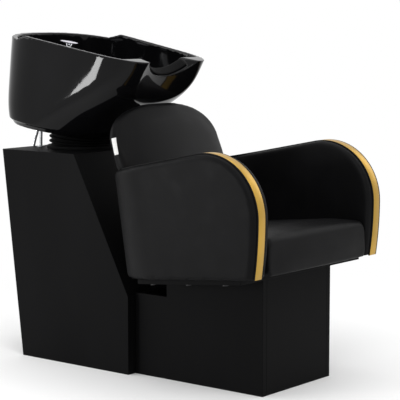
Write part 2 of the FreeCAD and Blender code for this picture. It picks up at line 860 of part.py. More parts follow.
def support_column():
    """Welded steel post with foot flange, cap and the two hinge ears."""
    half = column_size / 2
    hollow = half - column_wall
    flange_half = flange_size / 2
    flange_top = board + flange_thickness
    cap_low = column_top - column_cap
    post = box(-half, half, pivot_y - half, pivot_y + half, flange_top, cap_low)
    post = post.cut(box(-hollow, hollow, pivot_y - hollow, pivot_y + hollow, flange_top, cap_low))
    flange = box(-flange_half, flange_half, flange_y - flange_half, flange_y + flange_half, board, flange_top)
    cap = box(-ear_outer, ear_outer, pivot_y - half, pivot_y + half, cap_low, column_top)
    ears = []
    for side in (-1, 1):
        x0 = min(side * ear_inner, side * ear_outer)
        x1 = x0 + ear_thickness
        eye = rod(Vec(x0, pivot_y, pivot_z), Vec(x1, pivot_y, pivot_z), ear_radius)
        ears.append(eye.fuse(box(x0, x1, pivot_y - ear_radius, pivot_y + ear_radius, column_top, pivot_z)))
    body = fused([post, flange, cap] + ears)
    body = body.cut(rod(Vec(-ear_outer - overrun, pivot_y, pivot_z), Vec(ear_outer + overrun, pivot_y, pivot_z),
                        pin_radius))
    for x, y in column_bolt_places():
        body = body.cut(upright(x, y, 0, flange_top + overrun, column_bolt_radius))
    return body


def column_bolts():
    """Hex bolts through the flange and the floor board."""
    flange_top = board + flange_thickness
    bolts = []
    for x, y in column_bolt_places():
        shank = upright(x, y, 0, flange_top, column_bolt_radius)
        head = upright(x, y, flange_top, flange_top + column_bolt_head_height, column_bolt_head_radius)
        bolts.append(fused([shank, head]))
    return Part.makeCompound(bolts)


def tilt_pin():
    """Headed hinge pin through ears and lugs, with a clip groove at its end."""
    shank_end = ear_outer + pin_overhang
    shank = rod(Vec(-ear_outer, pivot_y, pivot_z), Vec(shank_end, pivot_y, pivot_z), pin_radius)
    head = rod(Vec(-ear_outer - pin_head_height, pivot_y, pivot_z), Vec(-ear_outer, pivot_y, pivot_z),
               pin_head_radius)
    groove_x = ear_outer + clip_groove_offset
    groove = pipe(Vec(groove_x, pivot_y, pivot_z), Vec(groove_x + clip_thickness, pivot_y, pivot_z),
                  clip_radius, pin_radius - clip_thickness)
    return fused([shank, head]).cut(groove)


def pin_clip():
    """Ring clip in the pin's groove."""
    groove_x = ear_outer + clip_groove_offset
    return pipe(Vec(groove_x, pivot_y, pivot_z), Vec(groove_x + clip_thickness, pivot_y, pivot_z),
                clip_radius, pin_radius - clip_thickness)


def tilt_washers():
    """Friction washers between lugs and ears."""
    rings = []
    for side in (-1, 1):
        rings.append(pipe(Vec(side * washer_inner, pivot_y, pivot_z),
                          Vec(side * (washer_inner + washer_thickness), pivot_y, pivot_z),
                          washer_radius, pin_radius))
    return Part.makeCompound(rings)


def bellows():
    """Ribbed rubber sleeve, square on the cabinet's top and turned to the basin's lean above."""
    foot = Vec(0, basin_y, cabinet_height)
    head = basin_point(0, 0, basin_floor_height)

    def rings(wall):
        wires = []
        sizes = (bellows_valley - wall, bellows_crest - wall, bellows_crest - wall, bellows_valley - wall)
        for rib in range(bellows_ribs):
            for share, size in zip(bellows_rib_shares, sizes):
                wires.append(((rib + share) / bellows_ribs, size))
        wires.append((1.0, bellows_valley - wall))
        circles = []
        for share, size in wires:
            centre = foot.add(head.sub(foot) * share)
            turn = lean * share
            frame = FreeCAD.Placement(centre, FreeCAD.Rotation(Vec(1, 0, 0), math.degrees(turn)))
            circle = Part.makeCircle(size)
            circle.Placement = frame
            circles.append(Part.Wire(circle))
        return circles

    return Part.makeLoft(rings(0.0), True, True).cut(Part.makeLoft(rings(bellows_wall), True, True))


def bellows_ring():
    """Flat ring that holds the bellows' foot on the top board."""
    low = Vec(0, basin_y, cabinet_height)
    return pipe(low, low.add(Vec(0, 0, ring_height)), bellows_crest + ring_width, bellows_crest + ring_gap)


# Plumbing ends inside the cabinet
plate_top = board + plumbing_plate_height
waste_place = basin_point(0, drain_along, bowl_floor - bowl_floor_thickness - waste_tail_length)


def plumbing_bracket():
    """Bridge over the floor cut-out that holds the three pipe ends."""
    half_span = plumbing_cutout_width / 2 + plumbing_leg_foot
    half_depth = plumbing_plate_depth / 2
    y0 = plumbing_cutout_y - half_depth
    y1 = plumbing_cutout_y + half_depth
    leg_x = half_span - plumbing_leg_foot
    top = box(-leg_x, leg_x, y0, y1, plate_top - plumbing_plate_thickness, plate_top)
    parts = [top]
    for side in (-1, 1):
        x0 = min(side * leg_x, side * (leg_x + plumbing_plate_thickness))
        parts.append(box(x0, x0 + plumbing_plate_thickness, y0, y1, board, plate_top))
        f0 = min(side * leg_x, side * half_span)
        parts.append(box(f0, f0 + plumbing_leg_foot, y0, y1, board, board + plumbing_plate_thickness))
    body = fused(parts)
    body = body.cut(upright(0, plumbing_cutout_y, 0, plate_top + overrun, waste_pipe_radius))
    for x in (-supply_end_x, supply_end_x):
        body = body.cut(upright(x, plumbing_cutout_y, 0, plate_top + overrun, hose_radius + curve_gap))
    return body


def waste_outlet():
    """Plain spigot that the building's drain is pushed onto."""
    low = Vec(0, plumbing_cutout_y, spigot_floor_gap)
    high = Vec(0, plumbing_cutout_y, plate_top + spigot_collar_height)
    plate_low = Vec(0, plumbing_cutout_y, plate_top - plumbing_plate_thickness)
    collar = rod(plate_low.sub(Vec(0, 0, spigot_collar_height)), plate_low, spigot_collar_radius)
    return fused([rod(low, high, waste_pipe_radius), collar]).cut(
        rod(low, high, waste_pipe_radius - waste_pipe_wall))


def waste_hose():
    """Flexible pipe from the waste tail to the outlet."""
    low = Vec(0, plumbing_cutout_y, plate_top + spigot_collar_height)
    drop = (waste_place.z - low.z) / 5
    bend = waste_place.sub(basin_up * (drop / 2))
    points = [
        waste_place,
        bend,
        Vec(0, bend.y - drop / 2, bend.z - 1.5 * drop),
        Vec(0, plumbing_cutout_y + drop / 3, low.z + 2 * drop),
        Vec(0, plumbing_cutout_y, low.z + drop),
        low,
    ]
    return hose(points, waste_pipe_radius - waste_pipe_wall, waste_pipe_radius - 2 * waste_pipe_wall)


def supply_hose(start_x, hole_x, hole_y, end_x):
    """Supply hose from the mixer through its grommet to the bracket."""
    start = basin_point(start_x, mixer_along, deck_height - mixer_stud_length)
    span = start.z - cabinet_height
    below = cabinet_height - board
    fall = below - plate_top
    points = [
        start,
        start.sub(basin_up * (span / 4)),
        Vec(hole_x, hole_y, cabinet_height + span / 4),
        Vec(hole_x, (hole_y + cold_hole_y) / 2 - curve_gap, below - fall / 8),
        Vec(end_x, cold_hole_y - column_size / 2, below - fall / 3),
        Vec(end_x, plumbing_cutout_y + curve_gap, plate_top + fall / 3),
        Vec(end_x, plumbing_cutout_y, plate_top - plumbing_plate_thickness),
    ]
    return hose(points, hose_radius)


def supply_nuts():
    """Female hose nuts under the bracket, for the building's hot and cold supply."""
    nuts = []
    high = plate_top - plumbing_plate_thickness
    low = high - hose_nut_length
    for x in (-supply_end_x, supply_end_x):
        nut = upright(x, plumbing_cutout_y, low, high, hose_nut_radius)
        thread = upright(x, plumbing_cutout_y, low, low + supply_thread_depth, supply_thread_radius)
        nuts.append(nut.cut(thread))
    return Part.makeCompound(nuts)


def shower_hose():
    """Metal hose that leaves the basin's hollow, hangs behind the cabinet and comes back up."""
    hang_y = cabinet_top_rear + 2 * shower_hose_radius
    start = basin_point(shower_x, shower_along, shower_tail_low)
    end = basin_point(outlet_x, outlet_along, outlet_low)
    points = [start, start.sub(basin_up * hose_first_run)]
    for x, y, z in hose_hang_points:
        points.append(Vec(x, hang_y + y, cabinet_height + z))
    points.extend([end.sub(basin_up * hose_last_run), end])
    return hose(points, shower_hose_radius)


# Chair: underside line of arms and seat, rising to the front
under_slope = math.tan(math.radians(arm_under_slope))
crest_slope = math.radians(arm_crest_slope)
front_centre_y = arm_crest_front_y - arm_front_radius * math.sin(crest_slope)
front_centre_z = arm_crest_front_z - arm_front_radius * math.cos(crest_slope)
arm_front_y = front_centre_y - arm_front_radius
arm_toe_y = arm_front_y + arm_lower_draw_in
arm_toe_z = front_centre_z - arm_lower_drop
lower_radius = (arm_lower_drop ** 2 + arm_lower_draw_in ** 2) / (2 * arm_lower_draw_in)
lower_turn = math.asin(arm_lower_drop / lower_radius)


def under_z(y):
    """Height of the chair's underside at a place along it."""
    return arm_toe_z - under_slope * (y - arm_toe_y)


def crest_z(y):
    """Height of the arm's straight crest."""
    return arm_crest_front_z - math.tan(crest_slope) * (y - arm_crest_front_y)


def arm_front_edges(offset, x, rear_y):
    """Crest line, front arc and lower front arc of the arm's outline, moved outwards."""
    normal_y = math.sin(crest_slope) * offset
    normal_z = math.cos(crest_slope) * offset
    crest_rear = Vec(x, rear_y + normal_y, crest_z(rear_y) + normal_z)
    crest_front = Vec(x, arm_crest_front_y + normal_y, arm_crest_front_z + normal_z)

    def on_front(angle):
        reach = arm_front_radius + offset
        return Vec(x, front_centre_y - reach * math.cos(angle), front_centre_z + reach * math.sin(angle))

    def on_lower(angle):
        reach = lower_radius + offset
        return Vec(x, arm_front_y + lower_radius - reach * math.cos(angle),
                   front_centre_z - reach * math.sin(angle))

    top_angle = math.pi / 2 + crest_slope
    return [
        Part.LineSegment(crest_rear, crest_front).toShape(),
        Part.Arc(crest_front, on_front(top_angle / 2), on_front(0)).toShape(),
        Part.Arc(on_front(0), on_lower(lower_turn / 2), on_lower(lower_turn)).toShape(),
    ]


def arm_side_solid(outside):
    """The arm's outline from the side, drawn across the whole chair half."""
    x = -shell_half_width - outside - overrun
    rear_y = shell_half_width
    edges = arm_front_edges(0.0, x, rear_y)
    toe = edges[-1].Vertexes[-1].Point
    rear_top = edges[0].Vertexes[0].Point
    heel = Vec(x, rear_y, under_z(rear_y))
    edges.append(Part.LineSegment(toe, heel).toShape())
    edges.append(Part.LineSegment(heel, rear_top).toShape())
    face = Part.Face(Part.Wire(Part.sortEdges(edges)[0]))
    return face.extrude(Vec(-x, 0, 0))


def shell_back(z):
    """Outer face of the tub's back at a height."""
    return shell_back_at_floor + math.tan(math.radians(shell_back_lean)) * z


def shell_ring(z, spare, outside):
    """Plan of the left half of the tub at one height, thickened inwards and outwards by some room."""
    rear = shell_back(z) + outside
    half = shell_half_width + outside
    inner = shell_inner_half_width - spare
    inner_rear = shell_back(z) - shell_back_wall - spare
    corner_radius = shell_corner_radius + outside
    front = arm_front_y - overrun
    diagonal = math.sqrt(0.5)

    def corner(centre_x, centre_y, radius):
        return Vec(centre_x - radius * diagonal, centre_y + radius * diagonal, z)

    outer_x = -half + corner_radius
    outer_y = rear - corner_radius
    inner_x = -inner + shell_inner_radius
    inner_y = inner_rear - shell_inner_radius
    edges = [
        Part.LineSegment(Vec(-half, front, z), Vec(-half, outer_y, z)).toShape(),
        Part.Arc(Vec(-half, outer_y, z), corner(outer_x, outer_y, corner_radius),
                 Vec(outer_x, rear, z)).toShape(),
        Part.LineSegment(Vec(outer_x, rear, z), Vec(0, rear, z)).toShape(),
        Part.LineSegment(Vec(0, rear, z), Vec(0, inner_rear, z)).toShape(),
        Part.LineSegment(Vec(0, inner_rear, z), Vec(inner_x, inner_rear, z)).toShape(),
        Part.Arc(Vec(inner_x, inner_rear, z), corner(inner_x, inner_y, shell_inner_radius),
                 Vec(-inner, inner_y, z)).toShape(),
        Part.LineSegment(Vec(-inner, inner_y, z), Vec(-inner, front, z)).toShape(),
        Part.LineSegment(Vec(-inner, front, z), Vec(-half, front, z)).toShape(),
    ]
    return Part.Wire(edges)


def arm(spare=0.0, outside=0.0):
    """Left arm, wrapping round to the middle of the back."""
    rings = [shell_ring(shell_low, spare, outside), shell_ring(shell_high, spare, outside)]
    return Part.makeLoft(rings, True, True).common(arm_side_solid(outside))


def on_arm_outline(point):
    """Whether a point lies on the crest, the front arc or the lower front arc."""
    if point.y > arm_crest_front_y:
        miss = point.z - crest_z(point.y)
    elif point.z > front_centre_z:
        miss = math.hypot(point.y - front_centre_y, point.z - front_centre_z) - arm_front_radius
    else:
        miss = math.hypot(point.y - arm_front_y - lower_radius, point.z - front_centre_z) - lower_radius
    return abs(miss) < running_fit


def rounded_arm():
    """Left arm with its long crest and front edges rolled over."""
    solid = arm()
    long_edges = []
    for edge in solid.Edges:
        points = edge.discretize(arm_edge_samples)
        across_front = points[0].y < front_centre_y + arm_thickness and points[0].distanceToPoint(
            points[-1]) > abs(points[0].x - points[-1].x) + running_fit
        behind = points[0].y > front_centre_y + arm_thickness
        in_middle = max(abs(point.x) for point in points) < running_fit
        if all(on_arm_outline(point) for point in points) and not in_middle and (across_front or behind):
            long_edges.append(edge)
    return solid.makeFillet(arm_edge_radius, long_edges)


def trim_ring(z):
    """Plan of the trim band at one height, running along the tub's outer line."""
    outer = shell_corner_radius - trim_setback
    inner = outer - trim_width
    centre_x = -shell_half_width + shell_corner_radius
    centre_y = shell_back(z) - shell_corner_radius
    front = arm_front_y - overrun
    diagonal = math.sqrt(0.5)

    def corner(radius):
        return Vec(centre_x - radius * diagonal, centre_y + radius * diagonal, z)

    edges = [
        Part.LineSegment(Vec(centre_x - outer, front, z), Vec(centre_x - outer, centre_y, z)).toShape(),
        Part.Arc(Vec(centre_x - outer, centre_y, z), corner(outer),
                 Vec(centre_x, centre_y + outer, z)).toShape(),
        Part.LineSegment(Vec(centre_x, centre_y + outer, z), Vec(centre_x, centre_y + inner, z)).toShape(),
        Part.Arc(Vec(centre_x, centre_y + inner, z), corner(inner),
                 Vec(centre_x - inner, centre_y, z)).toShape(),
        Part.LineSegment(Vec(centre_x - inner, centre_y, z), Vec(centre_x - inner, front, z)).toShape(),
        Part.LineSegment(Vec(centre_x - inner, front, z), Vec(centre_x - outer, front, z)).toShape(),
    ]
    return Part.Wire(edges)


def arm_trim():
    """Metal band let along the crest and front of the left arm."""
    x = -shell_half_width
    inner = arm_front_edges(curve_gap, x, trim_rear_y)
    outer = arm_front_edges(curve_gap + trim_thickness, x, trim_rear_y)
    closing = [
        Part.LineSegment(inner[0].Vertexes[0].Point, outer[0].Vertexes[0].Point).toShape(),
        Part.LineSegment(inner[-1].Vertexes[-1].Point, outer[-1].Vertexes[-1].Point).toShape(),
    ]
    wire = Part.Wire(Part.sortEdges(inner + outer + closing)[0])
    skin = Part.Face(wire).extrude(Vec(-x, 0, 0))
    return Part.makeLoft([trim_ring(shell_low), trim_ring(shell_high)], True, True).common(skin)


# Chair base and seat board
base_half = base_width / 2
base_room = base_half - board
base_rear = -base_rear_gap


def board_low(y):
    """Underside of the seat board, which lies on the base."""
    return under_z(y) - seat_board_thickness


def base_side_outline():
    """Side board of the base with the notch at its upper rear corner."""
    notch_y = base_rear - base_notch_length
    return [(base_rear, 0.0), (base_rear, base_notch_height), (notch_y, base_notch_height),
            (notch_y, board_low(notch_y)), (-base_front, board_low(-base_front)), (-base_front, 0.0)]


def base_side():
    """Left side board of the base."""
    return prism_x(base_side_outline(), -base_half, -base_room)


def base_front_panel():
    """Front board between the side boards."""
    inner = -base_front + board
    return prism_x([(-base_front, 0.0), (inner, 0.0), (inner, board_low(inner)),
                    (-base_front, board_low(-base_front))],
                   -base_room, base_room)


def join_bolt_places():
    """Bolts between base and cabinet."""
    return [(sx * join_bolt_spread / 2, z) for sx in (-1, 1) for z in join_bolt_heights]


def join_hole(x, z):
    """Cutter for a bolt through base, gap and cabinet front."""
    return rod(Vec(x, base_rear - board - overrun, z), Vec(x, board + overrun, z), join_bolt_radius)


def base_rear_panel():
    """Rear board between the side boards, bolted to the cabinet."""
    panel = box(-base_room, base_room, base_rear - board, base_rear, 0, base_notch_height)
    for x, z in join_bolt_places():
        panel = panel.cut(join_hole(x, z))
    return panel


def cabinet_front():
    """Lower front board of the cabinet with the joining holes."""
    panel = cabinet_panel(4, -cabinet_room, cabinet_room)
    for x, z in join_bolt_places():
        panel = panel.cut(join_hole(x, z))
    return panel


def join_spacers():
    """Washers that fill the gap between base and cabinet at each bolt."""
    rings = []
    for x, z in join_bolt_places():
        rings.append(pipe(Vec(x, base_rear, z), Vec(x, 0, z), join_bolt_head_radius, join_bolt_radius))
    return Part.makeCompound(rings)


def join_bolts():
    """Bolts with nuts that tie base and cabinet together."""
    bolts = []
    for x, z in join_bolt_places():
        head_y = base_rear - board
        shank = rod(Vec(x, head_y, z), Vec(x, board + join_nut_height, z), join_bolt_radius)
        head = rod(Vec(x, head_y - join_bolt_head_height, z), Vec(x, head_y, z), join_bolt_head_radius)
        nut = rod(Vec(x, board, z), Vec(x, board + join_nut_height, z), join_bolt_head_radius)
        bolts.append(fused([shank, head, nut]))
    return Part.makeCompound(bolts)


def base_floor():
    """Floor board of the base."""
    return box(-base_room, base_room, -base_front + board, base_rear - board, 0, board)


seat_half = shell_inner_half_width - seat_gap
board_normal = Vec(0, under_slope, 1).normalize()


def arm_bolts(hole=False):
    """Bolts up through the seat board into each arm, or the cutter for their holes."""
    middle = (shell_half_width + shell_inner_half_width) / 2
    bolts = []
    for x in (-middle, middle):
        for y in arm_bolt_ys:
            seat = Vec(x, y, board_low(y))
            shank = rod(seat, seat.add(board_normal * arm_bolt_length), arm_bolt_radius)
            if not hole:
                head = rod(seat.sub(board_normal * arm_bolt_head_height), seat, arm_bolt_head_radius)
                shank = fused([shank, head])
            bolts.append(shank)
    return Part.makeCompound(bolts)


def seat_board():
    """Plywood under seat and arms, lying on the base."""
    board_half = shell_half_width - seat_board_setback
    strips = []
    for rear, front, half in ((-base_notch_length, -base_front - board, board_half),
                              (-base_rear_gap, -base_notch_length, seat_board_rear_half)):
        outline = [(rear, board_low(rear)), (front, board_low(front)),
                   (front, under_z(front)), (rear, under_z(rear))]
        strips.append(prism_x(outline, -half, half))
    return fused(strips).cut(arm_bolts(True))


def seat_section(y, height_share):
    """Cross-section of the seat cushion: flat below, drawn-in sides, crowned top."""
    low = under_z(y) + soft_gap
    span_share = (y - seat_front_y) / (seat_rear_y - seat_front_y)
    high = low + (seat_rise_front + span_share * (seat_rise_rear - seat_rise_front)) * height_share
    shoulder = high - seat_crown * height_share
    middle = (low + shoulder) / 2
    half = seat_half
    drawn = half - seat_side_draw
    edges = [
        Part.LineSegment(Vec(-drawn, y, low), Vec(drawn, y, low)).toShape(),
        Part.Arc(Vec(drawn, y, low), Vec(half, y, middle), Vec(drawn, y, shoulder)).toShape(),
        Part.Arc(Vec(drawn, y, shoulder), Vec(0, y, high), Vec(-drawn, y, shoulder)).toShape(),
        Part.Arc(Vec(-drawn, y, shoulder), Vec(-half, y, middle), Vec(-drawn, y, low)).toShape(),
    ]
    return Part.Wire(edges)


seat_front_shares = ((0.0, 0.84), (0.09, 0.905), (0.25, 0.955), (0.55, 0.988), (1.0, 1.0))


def seat_cushion():
    """Crowned seat cushion between the arms, rounded along its front."""
    sections = [seat_section(seat_front_y + share * seat_front_round, height)
                for share, height in seat_front_shares]
    sections.append(seat_section(seat_rear_y, 1.0))
    room = arm(soft_gap, cushion_cut_reach)
    return Part.makeLoft(sections, True, True).cut(room).cut(mirrored(room))


def back_rear(z):
    """Rear face of the backrest at a height."""
    return back_rear_y + math.tan(math.radians(back_rear_lean)) * (z - back_rear_at_z)


def back_front(z):
    """Front face of the backrest at a height."""
    return back_front_y + math.tan(math.radians(back_front_lean)) * (z - back_front_at_z)


back_dome_turns = (0.0, 18.0, 35.0, 50.0, 62.0, 72.0, 80.0)


def back_section(z, width_share=1.0):
    """Plan of the backrest at a height: round ends, crowned in front and behind."""
    half = back_half_width * width_share
    rear = back_rear(z)
    front = back_front(z)
    depth = rear - front
    middle = rear - back_side_share * depth
    closing = (1 - width_share) * depth / 2
    rear -= closing
    front += closing * back_edge_share
    edge = back_tip_share * depth * width_share
    rear_tip = rear - back_rear_crown_share * depth * width_share
    crown = min(back_crown, depth * back_edge_share) * width_share
    tip = half - edge
    edges = [
        Part.Arc(Vec(-tip, rear_tip, z), Vec(0, rear, z), Vec(tip, rear_tip, z)).toShape(),
        Part.Arc(Vec(tip, rear_tip, z), Vec(half, middle, z), Vec(tip, front + crown, z)).toShape(),
        Part.Arc(Vec(tip, front + crown, z), Vec(0, front, z), Vec(-tip, front + crown, z)).toShape(),
        Part.Arc(Vec(-tip, front + crown, z), Vec(-half, middle, z), Vec(-tip, rear_tip, z)).toShape(),
    ]
    return Part.Wire(edges)


def backrest_form():
    """Plump backrest with a domed top, before the tub is cut from it."""
    lower = Part.makeLoft([back_section(back_bottom_z), back_section(back_shoulder_z)], True, True)
    dome = []
    for turn in back_dome_turns:
        rise_share = math.sin(math.radians(turn)) ** (2 / back_dome_power)
        width_share = math.cos(math.radians(turn)) ** (2 / back_dome_power)
        dome.append(back_section(back_shoulder_z + rise_share * (back_top_z - back_shoulder_z), width_share))
    return lower.fuse(Part.makeLoft(dome, True, False))


def tub_room(outside=0.0):
    """Room that the left arm takes up, for what stands inside the tub."""
    room = arm(soft_gap, outside)
    room.translate(Vec(0, 0, soft_gap))
    return room


def backrest_cushion():
    """Backrest, cut to sit inside the tub and on the seat."""
    room = tub_room(cushion_cut_reach)
    form = backrest_form().cut(room).cut(mirrored(room))
    seat_room = seat_cushion()
    seat_room.translate(Vec(0, 0, soft_gap))
    return form.cut(seat_room)


def backrest_tag():
    """Blank woven tag sewn into the left seam of the backrest."""
    side = min(back_section(tag_z).Edges, key=lambda edge: edge.CenterOfMass.x).Curve
    turn = math.radians(tag_turn)
    tag = box(-tag_gap - tag_thickness, -tag_gap, -tag_width / 2, tag_width / 2,
              -tag_height / 2, tag_height / 2)
    tag.rotate(Vec(0, 0, 0), Vec(1, 0, 0), -tag_lean)
    tag.rotate(Vec(0, 0, 0), Vec(0, 0, 1), tag_turn)
    tag.translate(side.Center.sub(Vec(side.Radius * math.cos(turn), side.Radius * math.sin(turn), 0)))
    return tag.cut(tub_room())


def make_pieces():
    """Every piece by its node name."""
    left_arm = rounded_arm().cut(arm_bolts(True))
    left_trim = arm_trim()
    side = cabinet_side()
    base_left = base_side()
    under_floor = bowl_floor - bowl_floor_thickness
    return {
        "cabinet_side_left": side,
        "cabinet_side_right": mirrored(side),
        "cabinet_floor": cabinet_floor(),
        "cabinet_rear": cabinet_rear(),
        "cabinet_top": cabinet_top(),
        "cabinet_slant": cabinet_panel(3, -cabinet_room, cabinet_room),
        "cabinet_front": cabinet_front(),
        "rear_cleats": rear_cleats(),
        "rear_screws": rear_screws(),
        "hose_grommets": hose_grommets(),
        "support_column": support_column(),
        "column_bolts": column_bolts(),
        "tilt_pin": tilt_pin(),
        "pin_clip": pin_clip(),
        "tilt_washers": tilt_washers(),
        "bellows": bellows(),
        "bellows_ring": bellows_ring(),
        "plumbing_bracket": plumbing_bracket(),
        "waste_outlet": waste_outlet(),
        "waste_hose": waste_hose(),
        "supply_hose_cold": supply_hose(mixer_x - hose_radius - curve_gap, cold_hole_x, cold_hole_y,
                                        -supply_end_x),
        "supply_hose_hot": supply_hose(mixer_x + hose_radius + curve_gap, hot_hole_x, hot_hole_y,
                                       supply_end_x),
        "supply_nuts": supply_nuts(),
        "base_side_left": base_left,
        "base_side_right": mirrored(base_left),
        "base_front": base_front_panel(),
        "base_rear": base_rear_panel(),
        "base_floor": base_floor(),
        "join_spacers": join_spacers(),
        "join_bolts": join_bolts(),
        "seat_board": seat_board(),
        "arm_bolts": arm_bolts(),
        "seat_cushion": seat_cushion(),
        "backrest_cushion": backrest_cushion(),
        "backrest_tag": backrest_tag(),
        "arm_left": left_arm,
        "arm_right": mirrored(left_arm),
        "arm_trim_left": left_trim,
        "arm_trim_right": mirrored(left_trim),
        "basin": basin(),
        "basin_bracket": basin_bracket(),
        "bracket_bolts": bracket_bolts(),
        "neck_rest": neck_rest(),
        "waste_flange": waste_flange(),
        "waste_gasket": under_bowl_ring(under_floor, waste_gasket_height, waste_nut_radius),
        "waste_nut": under_bowl_ring(under_floor - waste_gasket_height, waste_nut_height, waste_nut_radius),
        "mixer_body": mixer_body(),
        "mixer_nut": mixer_nut(),
        "mixer_dome": mixer_dome(),
        "mixer_lever": mixer_lever(),
        "shower_holder": shower_holder(),
        "hand_shower": hand_shower(),
        "spray_face": spray_face(),
        "mixer_outlet": mixer_outlet(),
        "shower_tail": shower_tail(),
        "shower_hose": shower_hose(),
    }


cord_nodes = ("shower_hose",)


def origin_shift(pieces):
    """Move along Y that puts the origin under the middle of the unit, cords aside."""
    boxes = [shape.optimalBoundingBox(True, False) for name, shape in pieces.items() if name not in cord_nodes]
    return -(min(b.YMin for b in boxes) + max(b.YMax for b in boxes)) / 2


pieces = make_pieces()
shift_y = origin_shift(pieces)
os.makedirs("parts", exist_ok=True)
for name, shape in pieces.items():
    shape.translate(Vec(0, shift_y, 0))
    shape.exportStep("parts/" + name + ".step")
    print(name, len(shape.Solids), "solids", "valid" if shape.isValid() else "NOT VALID",
          "%.0f cm3" % (shape.Volume / 1000))
print("shift along Y %.3f" % shift_y)
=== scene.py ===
import bpy
import bmesh
import math
from mathutils import Matrix, Vector
from mathutils.bvhtree import BVHTree
from mathutils.kdtree import KDTree


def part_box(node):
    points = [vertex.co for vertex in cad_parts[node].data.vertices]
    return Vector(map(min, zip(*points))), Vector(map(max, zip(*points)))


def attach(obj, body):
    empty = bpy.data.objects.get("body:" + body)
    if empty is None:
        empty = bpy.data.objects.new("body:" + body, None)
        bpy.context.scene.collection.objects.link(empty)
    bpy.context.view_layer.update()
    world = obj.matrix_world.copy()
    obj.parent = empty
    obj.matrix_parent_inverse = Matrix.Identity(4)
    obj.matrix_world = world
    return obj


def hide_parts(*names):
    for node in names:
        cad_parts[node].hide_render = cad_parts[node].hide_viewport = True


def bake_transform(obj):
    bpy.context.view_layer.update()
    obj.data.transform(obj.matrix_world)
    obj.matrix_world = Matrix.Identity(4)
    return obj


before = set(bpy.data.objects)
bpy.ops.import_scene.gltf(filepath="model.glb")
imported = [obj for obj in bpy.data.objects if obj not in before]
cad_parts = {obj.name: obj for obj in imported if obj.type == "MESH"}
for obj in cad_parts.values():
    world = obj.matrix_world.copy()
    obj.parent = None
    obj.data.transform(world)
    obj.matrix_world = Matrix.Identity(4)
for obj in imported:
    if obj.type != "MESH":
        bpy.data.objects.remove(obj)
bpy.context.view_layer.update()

bl_info = {
    "name": "Salon Backwash Unit",
    "version": (1, 0, 0),
    "blender": (4, 5, 0),
    "location": "View3D > Sidebar > Backwash",
    "description": "Dresses the frame of a backwash unit: tub chair, cabinet, basin and taps",
    "category": "Object",
}

# Where the basin stands, read from the frame, with its lean and its rise above the cabinet
RING_LOW, RING_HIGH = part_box("bellows_ring")
BASIN_Y = (RING_LOW.y + RING_HIGH.y) / 2
CABINET_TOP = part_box("bellows")[0].z
BASIN_LEAN = math.radians(10.5)
BASIN_RISE = 0.044
BASIN_FLOOR = Vector((0, BASIN_Y, CABINET_TOP + BASIN_RISE))

# Lines of the chair's solids: its underside, the arms' crest and front, the tub and the bands
UNDERSIDE_FRONT = 0.35745
UNDERSIDE_SLOPE = math.tan(math.radians(5.6))
ARM_TOE_Y = -0.53993
CREST_SLOPE = math.radians(11.5)
CREST_FRONT = (-0.345641, 0.687)
FRONT_RADIUS = 0.172
LOWER_DROP = 0.161
LOWER_DRAW_IN = 0.012
TUB_HALF = 0.318
TUB_CORNER = 0.246
TUB_LEAN = math.tan(math.radians(9.2))
TUB_BACK = -0.017241
BAND_SETBACK = 0.017
BAND_WIDTH = 0.030
BAND_REAR_Y = -0.037641

# Neck trough in the basin's front rim, in the basin's own leaning frame
BASIN_FRONT = -0.343
RIM_FRONT = 0.300
TROUGH_SETBACK = 0.029
TROUGH_DEPTH = 0.048
TROUGH_RADIUS = 0.132
TROUGH_SLOPE = math.radians(24.0)

# Taut upholstery: the frames in which a cover settles, the most that it sinks below its cushion,
# and the rounds that even out its creases
CLOTH_FRAMES = 20
MOST_SUNK = 0.0012
TAUT_ROUNDS = 40

# Blank tag on the backrest: its size, how it faces, how far off its cover is looked for, its lift
# and thickness, and its edges that thin out where it is folded
TAG_WIDTH = 0.015
TAG_HEIGHT = 0.050
TAG_TURN = math.radians(18.0)
TAG_LEAN = math.radians(14.0)
TAG_REACH = 0.06
TAG_LIFT = 0.0002
TAG_THICKNESS = 0.0013
TAG_FOLD_FROM = 0.7
TAG_FOLD_THINS = 0.45

# Welts beside the gold bands: share of their radius that stands proud, and points along their runs
WELT_PROUD = 0.35
WELT_STEPS = 40
WELT_LOWER_STEPS = 24

# Points closer than this are one, and points this near to the middle lie on it
SAME_POINT = 2e-5
ON_MIDDLE = 1e-5

# Studio: lamps with their place, target, width, height and power, then floor, world and camera
LAMPS = (
    ("key_softbox", (-1.5, -1.9, 2.6), (0.0, 0.0, 0.45), 1.4, 1.4, 24.0),
    ("front_softbox", (0.3, -2.4, 2.7), (0.0, 0.0, 0.5), 0.7, 0.9, 8.0),
    ("right_softbox", (2.3, -0.9, 1.8), (0.0, 0.0, 0.5), 1.2, 1.6, 8.0),
    ("rear_softbox", (-1.4, 2.1, 1.9), (0.0, 0.2, 0.6), 1.2, 1.6, 18.0),
    ("top_softbox", (0.2, 0.1, 3.0), (0.0, 0.0, 0.5), 2.0, 2.0, 18.0),
    ("window_left", (-1.97, 1.0, 0.50), (-0.21, 0.17, 0.89), 0.25, 0.46, 12.0),
)
FLOOR_HALF = 9
FADE_FROM, FADE_TO = 0.9, 1.9
WHITE = (1, 1, 1, 1)
SURROUNDING_LIGHT = 0.80
SENSOR_WIDTH = 36.0
FOCAL_LENGTH = 139.117
CAMERA_PLACE = (-3.59385, -2.99069, 1.06459)
CAMERA_DIP = 6.7905
CAMERA_TURN = -51.30745


def basin_place(x, along, up):
    """Point in the row frame of a place in the basin's own leaning frame."""
    c, s = math.cos(BASIN_LEAN), math.sin(BASIN_LEAN)
    return BASIN_FLOOR + Vector((x, along * c - up * s, along * s + up * c))


